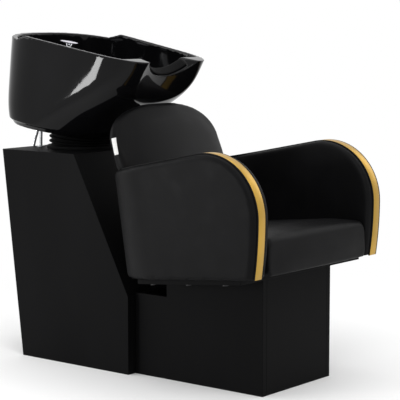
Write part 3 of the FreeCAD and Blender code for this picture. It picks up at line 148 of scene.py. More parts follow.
class BackwashSizes(bpy.types.PropertyGroup):
    """Sizes of the dressed pieces."""
    seat_voxel: bpy.props.FloatProperty(
        name="Seat voxel", description="Mesh fineness of the seat cushion", default=0.006,
        unit="LENGTH")
    back_voxel: bpy.props.FloatProperty(
        name="Backrest voxel", description="Mesh fineness of the backrest", default=0.006,
        unit="LENGTH")
    tub_voxel: bpy.props.FloatProperty(
        name="Tub voxel", description="Mesh fineness of the upholstered tub", default=0.006,
        unit="LENGTH")
    basin_voxel: bpy.props.FloatProperty(
        name="Basin voxel", description="Mesh fineness of the glazed basin", default=0.0030,
        unit="LENGTH")
    seat_swell: bpy.props.FloatProperty(
        name="Seat swell", description="Most that the seat cover may move under pressure",
        default=0.010, unit="LENGTH")
    back_swell: bpy.props.FloatProperty(
        name="Backrest swell", description="Most that the backrest cover may move under pressure",
        default=0.010, unit="LENGTH")
    pad_pressure: bpy.props.FloatProperty(
        name="Pad pressure", description="Pressure inside the padded covers", default=4.0)
    bellows_ribs: bpy.props.IntProperty(
        name="Bellows ribs", description="Folds of the rubber sleeve", default=5)
    shower_hose_length: bpy.props.FloatProperty(
        name="Shower hose length", description="Length of the hanging shower hose", default=0.975,
        unit="LENGTH")
    shower_hose_width: bpy.props.FloatProperty(
        name="Shower hose width", description="Diameter of the shower hose", default=0.013,
        unit="LENGTH")
    supply_hose_width: bpy.props.FloatProperty(
        name="Supply hose width", description="Diameter of the supply hoses", default=0.010,
        unit="LENGTH")
    hose_rib_pitch: bpy.props.FloatProperty(
        name="Hose rib pitch", description="Distance between the turns of the metal hose",
        default=0.0036, unit="LENGTH")
    neck_ribs: bpy.props.IntProperty(
        name="Neck rest ribs", description="Grip ribs across the rubber neck rest", default=34)
    piping_width: bpy.props.FloatProperty(
        name="Piping width", description="Thickness of the welt beside the gold band",
        default=0.0046, unit="LENGTH")


class BackwashColours(bpy.types.PropertyGroup):
    """Colours of the finishes."""
    leather: bpy.props.FloatVectorProperty(
        name="Leatherette", description="Colour of the tub, seat and backrest", subtype="COLOR",
        default=(0.0040, 0.0040, 0.0043))
    laminate: bpy.props.FloatVectorProperty(
        name="Laminate", description="Colour of the cabinet and base boards", subtype="COLOR",
        default=(0.0028, 0.0028, 0.0030))
    gold: bpy.props.FloatVectorProperty(
        name="Gold band", description="Colour of the satin metal trim", subtype="COLOR",
        default=(0.50, 0.31, 0.062))
    glaze: bpy.props.FloatVectorProperty(
        name="Glaze", description="Colour of the basin's glaze", subtype="COLOR",
        default=(0.0022, 0.0022, 0.0025))
    rubber: bpy.props.FloatVectorProperty(
        name="Rubber", description="Colour of bellows, gaskets and neck rest", subtype="COLOR",
        default=(0.0030, 0.0030, 0.0032))
    chrome: bpy.props.FloatVectorProperty(
        name="Chrome", description="Colour of taps and shower", subtype="COLOR",
        default=(0.80, 0.81, 0.83))
    steel: bpy.props.FloatVectorProperty(
        name="Zinc plated steel", description="Colour of column, brackets and fasteners",
        subtype="COLOR", default=(0.52, 0.53, 0.54))
    plywood: bpy.props.FloatVectorProperty(
        name="Plywood", description="Colour of the bare boards", subtype="COLOR",
        default=(0.47, 0.33, 0.19))
    plastic: bpy.props.FloatVectorProperty(
        name="Waste fittings", description="Colour of the grey plastic", subtype="COLOR",
        default=(0.42, 0.42, 0.43))
    spray: bpy.props.FloatVectorProperty(
        name="Spray plate", description="Colour of the shower's spray plate", subtype="COLOR",
        default=(0.74, 0.72, 0.80))
    tag: bpy.props.FloatVectorProperty(
        name="Tag", description="Colour of the blank woven tag", subtype="COLOR",
        default=(0.80, 0.80, 0.79))
    stage: bpy.props.FloatVectorProperty(
        name="Stage", description="Colour of the floor and backdrop", subtype="COLOR",
        default=(0.90, 0.90, 0.90))


# Finishes

class Wire:
    """One output socket of a finish; arithmetic on it adds Math nodes."""

    def __init__(self, finish, socket):
        self.finish = finish
        self.socket = socket

    def math(self, operation, first, second):
        """Adds one Math node."""
        return self.finish.node("ShaderNodeMath", {"operation": operation}, {0: first, 1: second})

    def __add__(self, other):
        return self.math("ADD", self, other)

    def __radd__(self, other):
        return self.math("ADD", other, self)

    def __sub__(self, other):
        return self.math("SUBTRACT", self, other)

    def __rsub__(self, other):
        return self.math("SUBTRACT", other, self)

    def __mul__(self, other):
        return self.math("MULTIPLY", self, other)

    def __rmul__(self, other):
        return self.math("MULTIPLY", other, self)

    def most(self, other):
        """Larger of two values."""
        return self.math("MAXIMUM", self, other)


class Finish:
    """A material or world in the making, with the one method that adds a node."""

    def __init__(self, owner):
        owner.use_nodes = True
        self.owner = owner
        self.tree = owner.node_tree
        self.tree.nodes.clear()

    def node(self, kind, settings=None, sockets=None, output=0):
        """Adds a node, sets it up, then fills its sockets with values or wires."""
        made = self.tree.nodes.new(kind)
        for key, value in (settings or {}).items():
            setattr(made, key, value)
        for key, value in (sockets or {}).items():
            if isinstance(value, Wire):
                self.tree.links.new(value.socket, made.inputs[key])
            else:
                made.inputs[key].default_value = value
        return Wire(self, made.outputs[output]) if len(made.outputs) else None

    def places(self):
        """Place on the surface, in metres of the piece's own frame."""
        return self.node("ShaderNodeTexCoord", output="Object")

    def scaled(self, place, factors):
        """Place stretched along the axes."""
        return self.node("ShaderNodeVectorMath", {"operation": "MULTIPLY"}, {0: place, 1: factors})

    def noise(self, place, scale, detail=3.0, rough=0.5):
        """Cloudy pattern between 0 and 1."""
        return self.node("ShaderNodeTexNoise", {}, {
            "Vector": place, "Scale": scale, "Detail": detail, "Roughness": rough}, output="Fac")

    def cells(self, place, scale, feature="DISTANCE_TO_EDGE"):
        """Distance to the borders or middles of scattered cells."""
        return self.node("ShaderNodeTexVoronoi", {"feature": feature}, {
            "Vector": place, "Scale": scale}, output="Distance")

    def bands(self, place, scale, direction):
        """Even bands across one direction."""
        return self.node("ShaderNodeTexWave", {"bands_direction": direction}, {
            "Vector": place, "Scale": scale}, output="Fac")

    def limits(self, value, low, high):
        """Value carried smoothly from its range to 0 and 1 and held at its ends."""
        return self.node("ShaderNodeMapRange", {"interpolation_type": "SMOOTHSTEP"}, {
            "Value": value, "From Min": low, "From Max": high})

    def blended(self, factor, first, second):
        """Colour between two colours."""
        return self.node("ShaderNodeMix", {"data_type": "RGBA"}, {
            0: factor, 6: first, 7: second}, output=2)

    def bumped(self, height, strength, distance):
        """Normal of a surface with small heights on it."""
        return self.node("ShaderNodeBump", {}, {
            "Height": height, "Strength": strength, "Distance": distance})

    def looked_at(self):
        """One for what the eye sees directly, mirrored or through glass, zero for light alone."""
        seen, mirrored, through = (
            self.node("ShaderNodeLightPath", output=output)
            for output in ("Is Camera Ray", "Is Glossy Ray", "Is Transmission Ray"))
        return seen.most(mirrored).most(through)

    def surface(self, **sockets):
        """Closes the finish with one shader whose sockets are given by name."""
        named = {key.replace("_", " "): value for key, value in sockets.items()}
        shader = self.node("ShaderNodeBsdfPrincipled", {}, named)
        self.node("ShaderNodeOutputMaterial", {}, {"Surface": shader})
        return self.owner


def tint(colour, share=1.0):
    """Colour with an alpha, lightened or darkened by a share."""
    return (colour[0] * share, colour[1] * share, colour[2] * share, 1.0)


def begun(name):
    """New material with the places on its surface."""
    f = Finish(bpy.data.materials.new(name))
    return f, f.places()


def leather_finish(name, colour, gloss):
    """Black leatherette: pebbled grain, faint stretch folds with painted shade and highlight along
    them, soft sheen.
    """
    f, place = begun(name)
    grain = f.limits(f.cells(place, scale=430.0), 0.0, 0.22)
    pores = f.noise(place, scale=1500.0, detail=2.0)
    fold_relief_and_shade = f.noise(place, scale=7.0, detail=4.0, rough=0.55)
    worn = f.limits(f.noise(place, scale=19.0), 0.45, 0.75)
    # Tone follows the fold relief: painted shade in the hollows of the folds, painted highlight on
    # their crests.
    shade = f.blended(f.limits(fold_relief_and_shade, 0.3, 0.7), tint(colour, 0.82), tint(colour, 1.18))
    shade = f.blended(worn * 0.35, shade, tint(colour, 1.5))
    rough = gloss + fold_relief_and_shade * 0.12 - grain * 0.05 - worn * 0.05
    height = grain * 0.5 + pores * 0.15 + fold_relief_and_shade * 1.2
    return f.surface(Base_Color=shade, Roughness=rough, Specular_IOR_Level=0.055,
                     Normal=f.bumped(height, strength=0.16, distance=0.0012))


def laminate_finish(name, colour):
    """Matt black board facing: fine stipple and faint rubbed patches."""
    f, place = begun(name)
    stipple = f.noise(place, scale=900.0, detail=2.0)
    rubbed = f.noise(f.scaled(place, (1.0, 1.0, 0.35)), scale=6.0, detail=4.0)
    shade = f.blended(f.limits(rubbed, 0.35, 0.7), tint(colour, 0.85), tint(colour, 1.25))
    rough = 0.46 + rubbed * 0.14 + stipple * 0.05
    return f.surface(Base_Color=shade, Roughness=rough, Specular_IOR_Level=0.045,
                     Normal=f.bumped(stipple, strength=0.10, distance=0.0004))


def gold_finish(name, colour):
    """Satin gold strip, brushed along its length."""
    f, place = begun(name)
    brush = f.noise(f.scaled(place, (900.0, 26.0, 26.0)), scale=1.0)
    cloud = f.noise(place, scale=9.0)
    shade = f.blended(f.limits(cloud, 0.3, 0.7), tint(colour, 0.86), tint(colour, 1.08))
    rough = 0.30 + brush * 0.10 + cloud * 0.06
    return f.surface(Base_Color=shade, Metallic=1.0, Roughness=rough,
                     Normal=f.bumped(brush, strength=0.05, distance=0.0003))


def glaze_finish(name, colour):
    """Deep black ceramic glaze with a slightly wavy coat."""
    f, place = begun(name)
    wave = f.noise(place, scale=26.0, detail=2.0)
    pooled = f.noise(place, scale=4.0, detail=2.0)
    shade = f.blended(f.limits(pooled, 0.3, 0.7), tint(colour, 0.8), tint(colour, 1.3))
    rough = 0.035 + pooled * 0.03
    return f.surface(Base_Color=shade, Roughness=rough, Specular_IOR_Level=0.15,
                     Normal=f.bumped(wave, strength=0.02, distance=0.0015))


def chrome_finish(name, colour):
    """Polished chrome with faint water marks."""
    f, place = begun(name)
    marks = f.noise(place, scale=130.0)
    shade = f.blended(f.limits(marks, 0.4, 0.7), tint(colour, 0.96), tint(colour, 1.04))
    rough = 0.05 + f.limits(marks, 0.5, 0.75) * 0.07
    return f.surface(Base_Color=shade, Metallic=1.0, Roughness=rough,
                     Normal=f.bumped(marks, strength=0.01, distance=0.0004))


def steel_finish(name, colour):
    """Zinc plated steel with its cloudy spangle."""
    f, place = begun(name)
    spangle = f.cells(place, scale=160.0, feature="F1")
    scratch = f.noise(f.scaled(place, (40.0, 40.0, 600.0)), scale=1.0)
    shade = f.blended(f.limits(spangle, 0.1, 0.7), tint(colour, 0.88), tint(colour, 1.1))
    rough = 0.30 + spangle * 0.12 + scratch * 0.08
    return f.surface(Base_Color=shade, Metallic=1.0, Roughness=rough,
                     Normal=f.bumped(scratch, strength=0.04, distance=0.0004))


def braid_finish(name, colour):
    """Braided steel sleeve of a supply hose: wires crossing both ways round, with painted shade in
    the gaps between them.
    """
    f, place = begun(name)
    one = f.bands(place, scale=190.0, direction="DIAGONAL")
    two = f.bands(f.scaled(place, (-1.0, -1.0, 1.0)), scale=190.0, direction="DIAGONAL")
    weave_and_gap_shade = one.most(two)
    # Tone follows the weave: painted shade darkens the gaps between the wires.
    shade = f.blended(f.limits(weave_and_gap_shade, 0.2, 0.9), tint(colour, 0.35), tint(colour, 1.15))
    return f.surface(Base_Color=shade, Metallic=0.85, Roughness=0.5 - weave_and_gap_shade * 0.14,
                     Normal=f.bumped(weave_and_gap_shade, strength=0.4, distance=0.0006))


def rubber_finish(name, colour, gloss=0.55):
    """Matt black rubber with a dusty bloom."""
    f, place = begun(name)
    skin = f.noise(place, scale=700.0)
    bloom = f.noise(place, scale=22.0, detail=4.0)
    shade = f.blended(f.limits(bloom, 0.35, 0.75), tint(colour, 0.85), tint(colour, 1.5))
    rough = gloss + bloom * 0.15 + skin * 0.05
    return f.surface(Base_Color=shade, Roughness=rough, Specular_IOR_Level=0.06,
                     Normal=f.bumped(skin, strength=0.10, distance=0.0003))


def plastic_finish(name, colour, gloss=0.38):
    """Moulded plastic with a fine spark texture."""
    f, place = begun(name)
    spark = f.noise(place, scale=1200.0, detail=2.0)
    flow = f.noise(place, scale=12.0)
    shade = f.blended(f.limits(flow, 0.3, 0.7), tint(colour, 0.94), tint(colour, 1.05))
    rough = gloss + flow * 0.06 + spark * 0.05
    return f.surface(Base_Color=shade, Roughness=rough,
                     Normal=f.bumped(spark, strength=0.06, distance=0.0002))


def plywood_finish(name, colour):
    """Bare plywood: long grain and darker growth lines."""
    f, place = begun(name)
    grain = f.noise(f.scaled(place, (60.0, 4.0, 60.0)), scale=1.0, detail=5.0, rough=0.6)
    lines = f.node("ShaderNodeTexWave", {"bands_direction": "X"}, {
        "Vector": f.scaled(place, (1.0, 0.12, 1.0)), "Scale": 18.0, "Distortion": 5.0,
        "Detail": 3.0}, output="Fac")
    shade = f.blended(f.limits(lines, 0.2, 0.8), tint(colour, 0.78), tint(colour, 1.08))
    shade = f.blended(grain * 0.4, shade, tint(colour, 0.7))
    return f.surface(Base_Color=shade, Roughness=0.62 + grain * 0.15,
                     Normal=f.bumped(grain, strength=0.15, distance=0.0005))


def woven_finish(name, colour):
    """Blank woven tag: fine crossing threads, with painted shade in the gaps between them."""
    f, place = begun(name)
    warp = f.bands(place, scale=420.0, direction="Y")
    weft = f.bands(place, scale=420.0, direction="Z")
    weave_and_gap_shade = warp * weft
    # Tone follows the weave: painted shade darkens the gaps between the threads.
    shade = f.blended(weave_and_gap_shade, tint(colour, 0.82), tint(colour, 1.05))
    return f.surface(Base_Color=shade, Roughness=0.8 - weave_and_gap_shade * 0.1,
                     Normal=f.bumped(weave_and_gap_shade, strength=0.25, distance=0.0003))


# Mesh helpers

def new_piece(name, mesh, finish, smooth=True):
    """Mesh as an object of the scene with a finish on it."""
    piece = bpy.data.objects.new(name, mesh)
    bpy.context.scene.collection.objects.link(piece)
    mesh.materials.clear()
    mesh.materials.append(finish)
    mesh.polygons.foreach_set("use_smooth", [smooth] * len(mesh.polygons))
    return piece


def shown_mesh(piece):
    """Mesh of a piece with its modifiers carried out."""
    depsgraph = bpy.context.evaluated_depsgraph_get()
    return bpy.data.meshes.new_from_object(piece.evaluated_get(depsgraph))


def settled(piece):
    """Carries out the modifiers of a piece and keeps the result as its mesh."""
    finishes = list(piece.data.materials)
    mesh = shown_mesh(piece)
    piece.modifiers.clear()
    old = piece.data
    piece.data = mesh
    bpy.data.meshes.remove(old)
    mesh.materials.clear()
    for finish in finishes:
        mesh.materials.append(finish)
    mesh.polygons.foreach_set("use_smooth", [True] * len(mesh.polygons))
    return piece


def joined_copy(name, nodes, finish, open_middle=False):
    """New piece from the meshes of nodes, with the face between mirrored halves taken out."""
    made = bmesh.new()
    for node in nodes:
        made.from_mesh(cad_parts[node].data)
    if open_middle:
        inner = [face for face in made.faces if all(abs(v.co.x) < ON_MIDDLE for v in face.verts)]
        bmesh.ops.delete(made, geom=inner, context="FACES")
    bmesh.ops.remove_doubles(made, verts=made.verts, dist=SAME_POINT)
    mesh = bpy.data.meshes.new(name)
    made.to_mesh(mesh)
    made.free()
    return new_piece(name, mesh, finish)


def smoothing_steps(piece, count):
    """Modifier that smooths a piece a number of times."""
    ease = piece.modifiers.new("ease", "SMOOTH")
    ease.factor = 0.5
    ease.iterations = count
    return ease


def remeshed(piece, voxel, smoothing):
    """Even mesh over the same form, its edges eased by a number of smoothing steps."""
    even = piece.modifiers.new("even", "REMESH")
    even.mode = "VOXEL"
    even.voxel_size = voxel
    smoothing_steps(piece, smoothing)
    return settled(piece)


def sharp_places(node, turn, step):
    """Places every step along the edges of a node's solid that turn by more than an angle."""
    made = bmesh.new()
    made.from_mesh(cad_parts[node].data)
    bmesh.ops.remove_doubles(made, verts=made.verts, dist=SAME_POINT)
    places = []
    for edge in made.edges:
        if len(edge.link_faces) == 2 and edge.calc_face_angle() > turn:
            first, last = edge.verts[0].co, edge.verts[1].co
            count = int((last - first).length / step) + 1
            places.extend(first.lerp(last, i / count) for i in range(count + 1))
    made.free()
    tree = KDTree(len(places))
    for i, place in enumerate(places):
        tree.insert(place, i)
    tree.balance()
    return tree


def eased(piece, sharp, near, far, rounds):
    """Smooths a piece away from sharp edges, and leaves it by degrees close to them."""
    levels = 16
    members = [[] for _ in range(levels + 1)]
    for v in piece.data.vertices:
        share = (sharp.find(v.co)[2] - near) / (far - near)
        members[round(levels * min(1.0, max(0.0, share)))].append(v.index)
    group = piece.vertex_groups.new(name="away")
    for level, chosen in enumerate(members):
        if chosen:
            group.add(chosen, level / levels, "REPLACE")
    smoothing_steps(piece, rounds).vertex_group = "away"
    settled(piece)
    piece.vertex_groups.clear()
    return piece


def evened(mesh, moves, rounds):
    """Moves of a mesh's points, evened out with those of their neighbours a number of times."""
    beside = [[] for _ in moves]
    for edge in mesh.edges:
        first, second = edge.vertices
        beside[first].append(second)
        beside[second].append(first)
    for _ in range(rounds):
        moves = [(move + sum((moves[k] for k in near), Vector())) / (len(near) + 1)
                 for move, near in zip(moves, beside)]
    return moves


def plumped(piece, pressure, swell, held, shrink):
    """Cloth cover blown up by pressure inside, held where it rests, its movement capped."""
    mesh = piece.data
    start = [v.co.copy() for v in mesh.vertices]
    normals = [v.normal.copy() for v in mesh.vertices]
    group = piece.vertex_groups.new(name="held")
    for v in mesh.vertices:
        if held(v.co):
            group.add([v.index], 1.0, "REPLACE")
        else:
            v.co = v.co - normals[v.index] * shrink
    cloth = piece.modifiers.new("cover", "CLOTH")
    cloth.settings.quality = 5
    cloth.settings.mass = 0.35
    cloth.settings.tension_stiffness = 18.0
    cloth.settings.compression_stiffness = 18.0
    cloth.settings.shear_stiffness = 6.0
    cloth.settings.bending_stiffness = 2.5
    cloth.settings.use_pressure = True
    cloth.settings.uniform_pressure_force = pressure
    cloth.settings.effector_weights.gravity = 0.0
    cloth.settings.vertex_group_mass = "held"
    cloth.point_cache.frame_start = 1
    cloth.point_cache.frame_end = CLOTH_FRAMES
    scene = bpy.context.scene
    for number in range(1, CLOTH_FRAMES + 1):
        scene.frame_set(number)
    blown = shown_mesh(piece)
    piece.modifiers.clear()
    moves = []
    for place, normal, after in zip(start, normals, blown.vertices):
        move = after.co - place
        sunk = -move.dot(normal) - MOST_SUNK
        if sunk > 0:
            move = move + normal * sunk
        if move.length > swell:
            move = move * (swell / move.length)
        moves.append(move)
    for v, place, move in zip(mesh.vertices, start, evened(mesh, moves, TAUT_ROUNDS)):
        v.co = place + move
    bpy.data.meshes.remove(blown)
    piece.vertex_groups.clear()
    scene.frame_set(1)
    return piece


def subdivided(piece):
    """One round of subdivision."""
    finer = piece.modifiers.new("finer", "SUBSURF")
    finer.levels = 1
    finer.render_levels = 1
    return settled(piece)


def spline_points(route, resolution):
    """Points along the smooth curve that a route's points control."""
    curve = bpy.data.curves.new("route", "CURVE")
    curve.dimensions = "3D"
    line = curve.splines.new("NURBS")
    line.points.add(len(route) - 1)
    for point, place in zip(line.points, route):
        point.co = (place[0], place[1], place[2], 1.0)
    line.order_u = 3
    line.use_endpoint_u = True
    line.resolution_u = resolution
    holder = bpy.data.objects.new("route", curve)
    bpy.context.scene.collection.objects.link(holder)
    mesh = shown_mesh(holder)
    points = [v.co.copy() for v in mesh.vertices]
    bpy.data.objects.remove(holder)
    bpy.data.meshes.remove(mesh)
    bpy.data.curves.remove(curve)
    return points


def closed_mesh(name, made):
    """Mesh of a closed skin, its faces turned outwards."""
    bmesh.ops.recalc_face_normals(made, faces=made.faces)
    mesh = bpy.data.meshes.new(name)
    made.to_mesh(mesh)
    made.free()
    return mesh


def grid_shell(name, rows, closed_rows=False):
    """Closed skin through rows of points that all have the same count."""
    made = bmesh.new()
    grid = [[made.verts.new(point) for point in row] for row in rows]
    count = len(rows[0])
    pairs = list(zip(grid, grid[1:]))
    if closed_rows:
        pairs.append((grid[-1], grid[0]))
    for low, high in pairs:
        for k in range(count):
            made.faces.new((low[k], low[(k + 1) % count], high[(k + 1) % count], high[k]))
    if not closed_rows:
        made.faces.new(list(reversed(grid[0])))
        made.faces.new(grid[-1])
    return closed_mesh(name, made)


def round_angles(sides):
    """Angles of the corners of a round with a number of sides."""
    return [2 * math.pi * k / sides for k in range(sides)]


def tube_mesh(name, points, radius_at, sides=14):
    """Closed tube along points, its radius a function of the length run."""
    rows = []
    run = 0.0
    side = (points[1] - points[0]).orthogonal().normalized()
    for i, point in enumerate(points):
        ahead = points[min(i + 1, len(points) - 1)]
        before = points[max(i - 1, 0)]
        heading = (ahead - before).normalized()
        side = (side - heading * side.dot(heading)).normalized()
        other = heading.cross(side)
        run += (point - before).length
        radius = radius_at(run)
        rows.append([point + (side * math.cos(angle) + other * math.sin(angle)) * radius
                     for angle in round_angles(sides)])
    return grid_shell(name, rows)


def dress(nodes, finish, ease=0.0):
    """Puts a finish on nodes of the frame and eases their sharp edges."""
    for node in nodes:
        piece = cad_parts[node]
        piece.data.materials.clear()
        piece.data.materials.append(finish)
        if ease:
            weld = piece.modifiers.new("weld", "WELD")
            weld.merge_threshold = SAME_POINT
            edge = piece.modifiers.new("ease", "BEVEL")
            edge.width = ease
            edge.segments = 2
            edge.limit_method = "ANGLE"
            edge.angle_limit = math.radians(35)


def colours():
    """Colours set for the scene."""
    return bpy.context.scene.backwash_colours


def sizes():
    """Sizes set for the scene."""
    return bpy.context.scene.backwash_sizes


# Pieces

class BACKWASH_OT_boards(bpy.types.Operator):
    """Finish the cabinet and base boards"""
    bl_idname = "backwash.boards"
    bl_label = "Boards"

    def execute(self, context):
        dress(["cabinet_side_left", "cabinet_side_right", "cabinet_floor", "cabinet_rear",
               "cabinet_top", "cabinet_slant", "cabinet_front", "base_side_left",
               "base_side_right", "base_front", "base_rear", "base_floor", "seat_board"],
              laminate_finish("black_laminate", colours().laminate), ease=0.0012)
        dress(["rear_cleats"], plywood_finish("bare_plywood", colours().plywood))
        return {"FINISHED"}


class BACKWASH_OT_fittings(bpy.types.Operator):
    """Finish the steel frame, fasteners and plastic waste fittings"""
    bl_idname = "backwash.fittings"
    bl_label = "Fittings"

    def execute(self, context):
        steel = steel_finish("zinc_steel", colours().steel)
        dress(["rear_screws", "support_column", "column_bolts", "tilt_pin", "pin_clip",
               "plumbing_bracket", "supply_nuts", "join_spacers", "join_bolts", "basin_bracket",
               "bracket_bolts", "mixer_nut", "hose_grommets"], steel, ease=0.0005)
        dress(["arm_bolts"], plastic_finish("blackened_steel", colours().laminate), ease=0.0005)
        dress(["waste_outlet", "waste_nut"], plastic_finish("waste_plastic", colours().plastic))
        dress(["bellows_ring", "waste_gasket", "tilt_washers"],
              rubber_finish("fitting_rubber", colours().rubber), ease=0.0008)
        return {"FINISHED"}


class BACKWASH_OT_basin(bpy.types.Operator):
    """Make the glazed basin with its rounded rim"""
    bl_idname = "backwash.basin"
    bl_label = "Basin"

    def execute(self, context):
        finish = glaze_finish("black_glaze", colours().glaze)
        piece = joined_copy("basin_glazed", ["basin"], finish)
        remeshed(piece, sizes().basin_voxel, smoothing=2)
        sharp = sharp_places("basin", turn=math.radians(22), step=0.003)
        eased(piece, sharp, near=0.003, far=0.014, rounds=30)
        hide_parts("basin")
        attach(piece, "basin_unit")
        return {"FINISHED"}


class BACKWASH_OT_neck_rest(bpy.types.Operator):
    """Make the ribbed rubber neck rest in the basin's trough"""
    bl_idname = "backwash.neck_rest"
    bl_label = "Neck rest"

    def execute(self, context):
        radius, thickness, half = 0.1317, 0.0087, 0.092
        start, end = 0.0055, 0.0355
        rib_height, rib_steps, section = 0.0016, 6, 20
        square_across, square_up = 0.45, 0.6
        taper = 1 / 14
        middle = Vector((0, BASIN_FRONT + TROUGH_SETBACK, RIM_FRONT - TROUGH_DEPTH + TROUGH_RADIUS))
        heading = Vector((0, -math.cos(TROUGH_SLOPE), -math.sin(TROUGH_SLOPE)))
        down = Vector((0, math.sin(TROUGH_SLOPE), -math.cos(TROUGH_SLOPE)))
        reach = math.asin(half / radius)
        steps = sizes().neck_ribs * rib_steps
        rows = []
        for i in range(steps + 1):
            share = i / steps
            angle = reach * (2 * share - 1)
            out = Vector((math.sin(angle), 0, 0)) + down * math.cos(angle)
            rib = 0.5 - 0.5 * math.cos(2 * math.pi * share * sizes().neck_ribs)
            close = min(1.0, min(share, 1 - share) / taper)
            close = math.sqrt(1 - (1 - close) ** 2)
            row = []
            for k in range(section):
                turn = 2 * math.pi * k / section
                across = math.copysign(abs(math.cos(turn)) ** square_across, math.cos(turn))
                rise = math.copysign(abs(math.sin(turn)) ** square_up, math.sin(turn))
                depth = radius - thickness * 0.5 * (1 + rise * close)
                if rise > 0:
                    depth += rib_height * rib * rise
                along = (start + end) / 2 + across * (end - start) / 2
                local = middle + heading * along + out * depth
                row.append(basin_place(local.x, local.y, local.z))
            rows.append(row)
        mesh = grid_shell("neck_rest_ribbed", rows)
        finish = rubber_finish("neck_rubber", colours().rubber, gloss=0.42)
        piece = new_piece("neck_rest_ribbed", mesh, finish)
        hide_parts("neck_rest")
        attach(piece, "basin_unit")
        return {"FINISHED"}


class BACKWASH_OT_bellows(bpy.types.Operator):
    """Make the rubber sleeve between cabinet and basin"""
    bl_idname = "backwash.bellows"
    bl_label = "Bellows"

    def execute(self, context):
        crest, valley, wall, head_height = 0.106, 0.096, 0.003, 0.018
        roundness, rib_steps, sides = 0.8, 14, 72
        foot = Vector((0, BASIN_Y, CABINET_TOP))
        head = basin_place(0, 0, head_height)
        ribs = sizes().bellows_ribs
        steps = ribs * rib_steps
        profile = []
        for i in range(steps + 1):
            share = i / steps
            wave = (0.5 - 0.5 * math.cos(2 * math.pi * share * ribs)) ** roundness
            profile.append((share, valley + (crest - valley) * wave))
        loop = profile + [(share, size - wall) for share, size in reversed(profile)]
        rows = []
        for share, size in loop:
            turn = Matrix.Rotation(BASIN_LEAN * share, 3, "X")
            centre = foot.lerp(head, share)
            rows.append([
                centre + turn @ Vector((size * math.cos(angle), size * math.sin(angle), 0))
                for angle in round_angles(sides)])
        mesh = grid_shell("bellows_sleeve", rows, closed_rows=True)
        piece = new_piece("bellows_sleeve", mesh, rubber_finish("sleeve_rubber", colours().rubber))
        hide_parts("bellows")
        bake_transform(piece)
        return {"FINISHED"}


class BACKWASH_OT_hoses(bpy.types.Operator):
    """Make the supply and waste hoses under the basin"""
    bl_idname = "backwash.hoses"
    bl_label = "Supply and waste hoses"

    def execute(self, context):
        radius = sizes().supply_hose_width / 2
        cold = [
            (-0.0413, 0.484779, 0.88357), (-0.0413, 0.495419, 0.8262), (-0.066, 0.486359, 0.7084),
            (-0.066, 0.486059, 0.5635), (-0.062, 0.461359, 0.4493), (-0.062, 0.192659, 0.2667),
            (-0.062, 0.192359, 0.0810)]
        hot = [
            (-0.0307, 0.484779, 0.88357), (-0.0307, 0.495419, 0.8262), (0.020, 0.491359, 0.7084),
            (0.020, 0.488559, 0.5635), (0.062, 0.461359, 0.4493), (0.062, 0.192659, 0.2667),
            (0.062, 0.192359, 0.0810)]
        for name, route, slot, finish in (
                ("cold", cold, "steel", braid_finish("hose_braid", colours().steel)),
                ("hot", hot, "rubber", rubber_finish("hose_rubber", colours().rubber, gloss=0.4))):
            points = spline_points(route, resolution=40)
            mesh = tube_mesh("supply_line_" + name, points, lambda run: radius)
            piece = new_piece("supply_line_" + name, mesh, finish)
            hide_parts("supply_hose_" + name)
            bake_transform(piece)
        finish = plastic_finish("waste_hose_plastic", colours().plastic, gloss=0.45)
        piece = joined_copy("waste_line", ["waste_hose"], finish)
        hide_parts("waste_hose")
        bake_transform(piece)
        return {"FINISHED"}


class BACKWASH_OT_shower_hose(bpy.types.Operator):
    """Make the metal shower hose that hangs behind the cabinet"""
    bl_idname = "backwash.shower_hose"
    bl_label = "Shower hose"

    def execute(self, context):
        route = [
            (0.048, 0.506649, 0.76558), (0.048, 0.513939, 0.72625), (0.058, 0.537359, 0.655),
            (0.061, 0.540359, 0.585), (0.064, 0.538359, 0.510), (0.064, 0.535359, 0.440),
            (0.050, 0.533359, 0.384), (0.006, 0.532359, 0.358), (-0.038, 0.533359, 0.384),
            (-0.054, 0.535359, 0.440), (-0.055, 0.538359, 0.510), (-0.052, 0.540359, 0.585),
            (-0.050, 0.537359, 0.655), (-0.049, 0.510359, 0.715), (-0.050, 0.504359, 0.772),
            (-0.050, 0.524849, 0.8320), (-0.050, 0.514279, 0.88904)]
        points = spline_points(route, resolution=70)
        radius = sizes().shower_hose_width / 2
        pitch = sizes().hose_rib_pitch
        groove_share = 0.13

        def ribbed(run):
            groove = (0.5 + 0.5 * math.cos(2 * math.pi * run / pitch)) ** 2
            return radius * (1.0 - groove_share * groove)

        mesh = tube_mesh("shower_line", points, ribbed, sides=16)
        piece = new_piece("shower_line", mesh, chrome_finish("hose_chrome", colours().chrome))
        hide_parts("shower_hose")
        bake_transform(piece)
        return {"FINISHED"}


class BACKWASH_OT_taps(bpy.types.Operator):
    """Finish the mixer, the hand shower and the waste flange"""
    bl_idname = "backwash.taps"
    bl_label = "Taps"

    def execute(self, context):
        chrome = chrome_finish("polished_chrome", colours().chrome)
        dress(["waste_flange", "mixer_body", "mixer_dome", "mixer_lever", "shower_holder",
               "hand_shower", "mixer_outlet", "shower_tail"], chrome, ease=0.0009)
        spray = plastic_finish("spray_plastic", colours().spray, gloss=0.22)
        dress(["spray_face"], spray, ease=0.0004)
        return {"FINISHED"}


class BACKWASH_OT_tub(bpy.types.Operator):
    """Upholster the tub that forms arms and back"""
    bl_idname = "backwash.tub"
    bl_label = "Tub"

    def execute(self, context):
        finish = leather_finish("tub_leatherette", colours().leather, gloss=0.42)
        piece = joined_copy("tub_cover", ["arm_left", "arm_right"], finish, open_middle=True)
        remeshed(piece, sizes().tub_voxel, smoothing=6)
        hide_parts("arm_left", "arm_right")
        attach(piece, "frame")
        return {"FINISHED"}


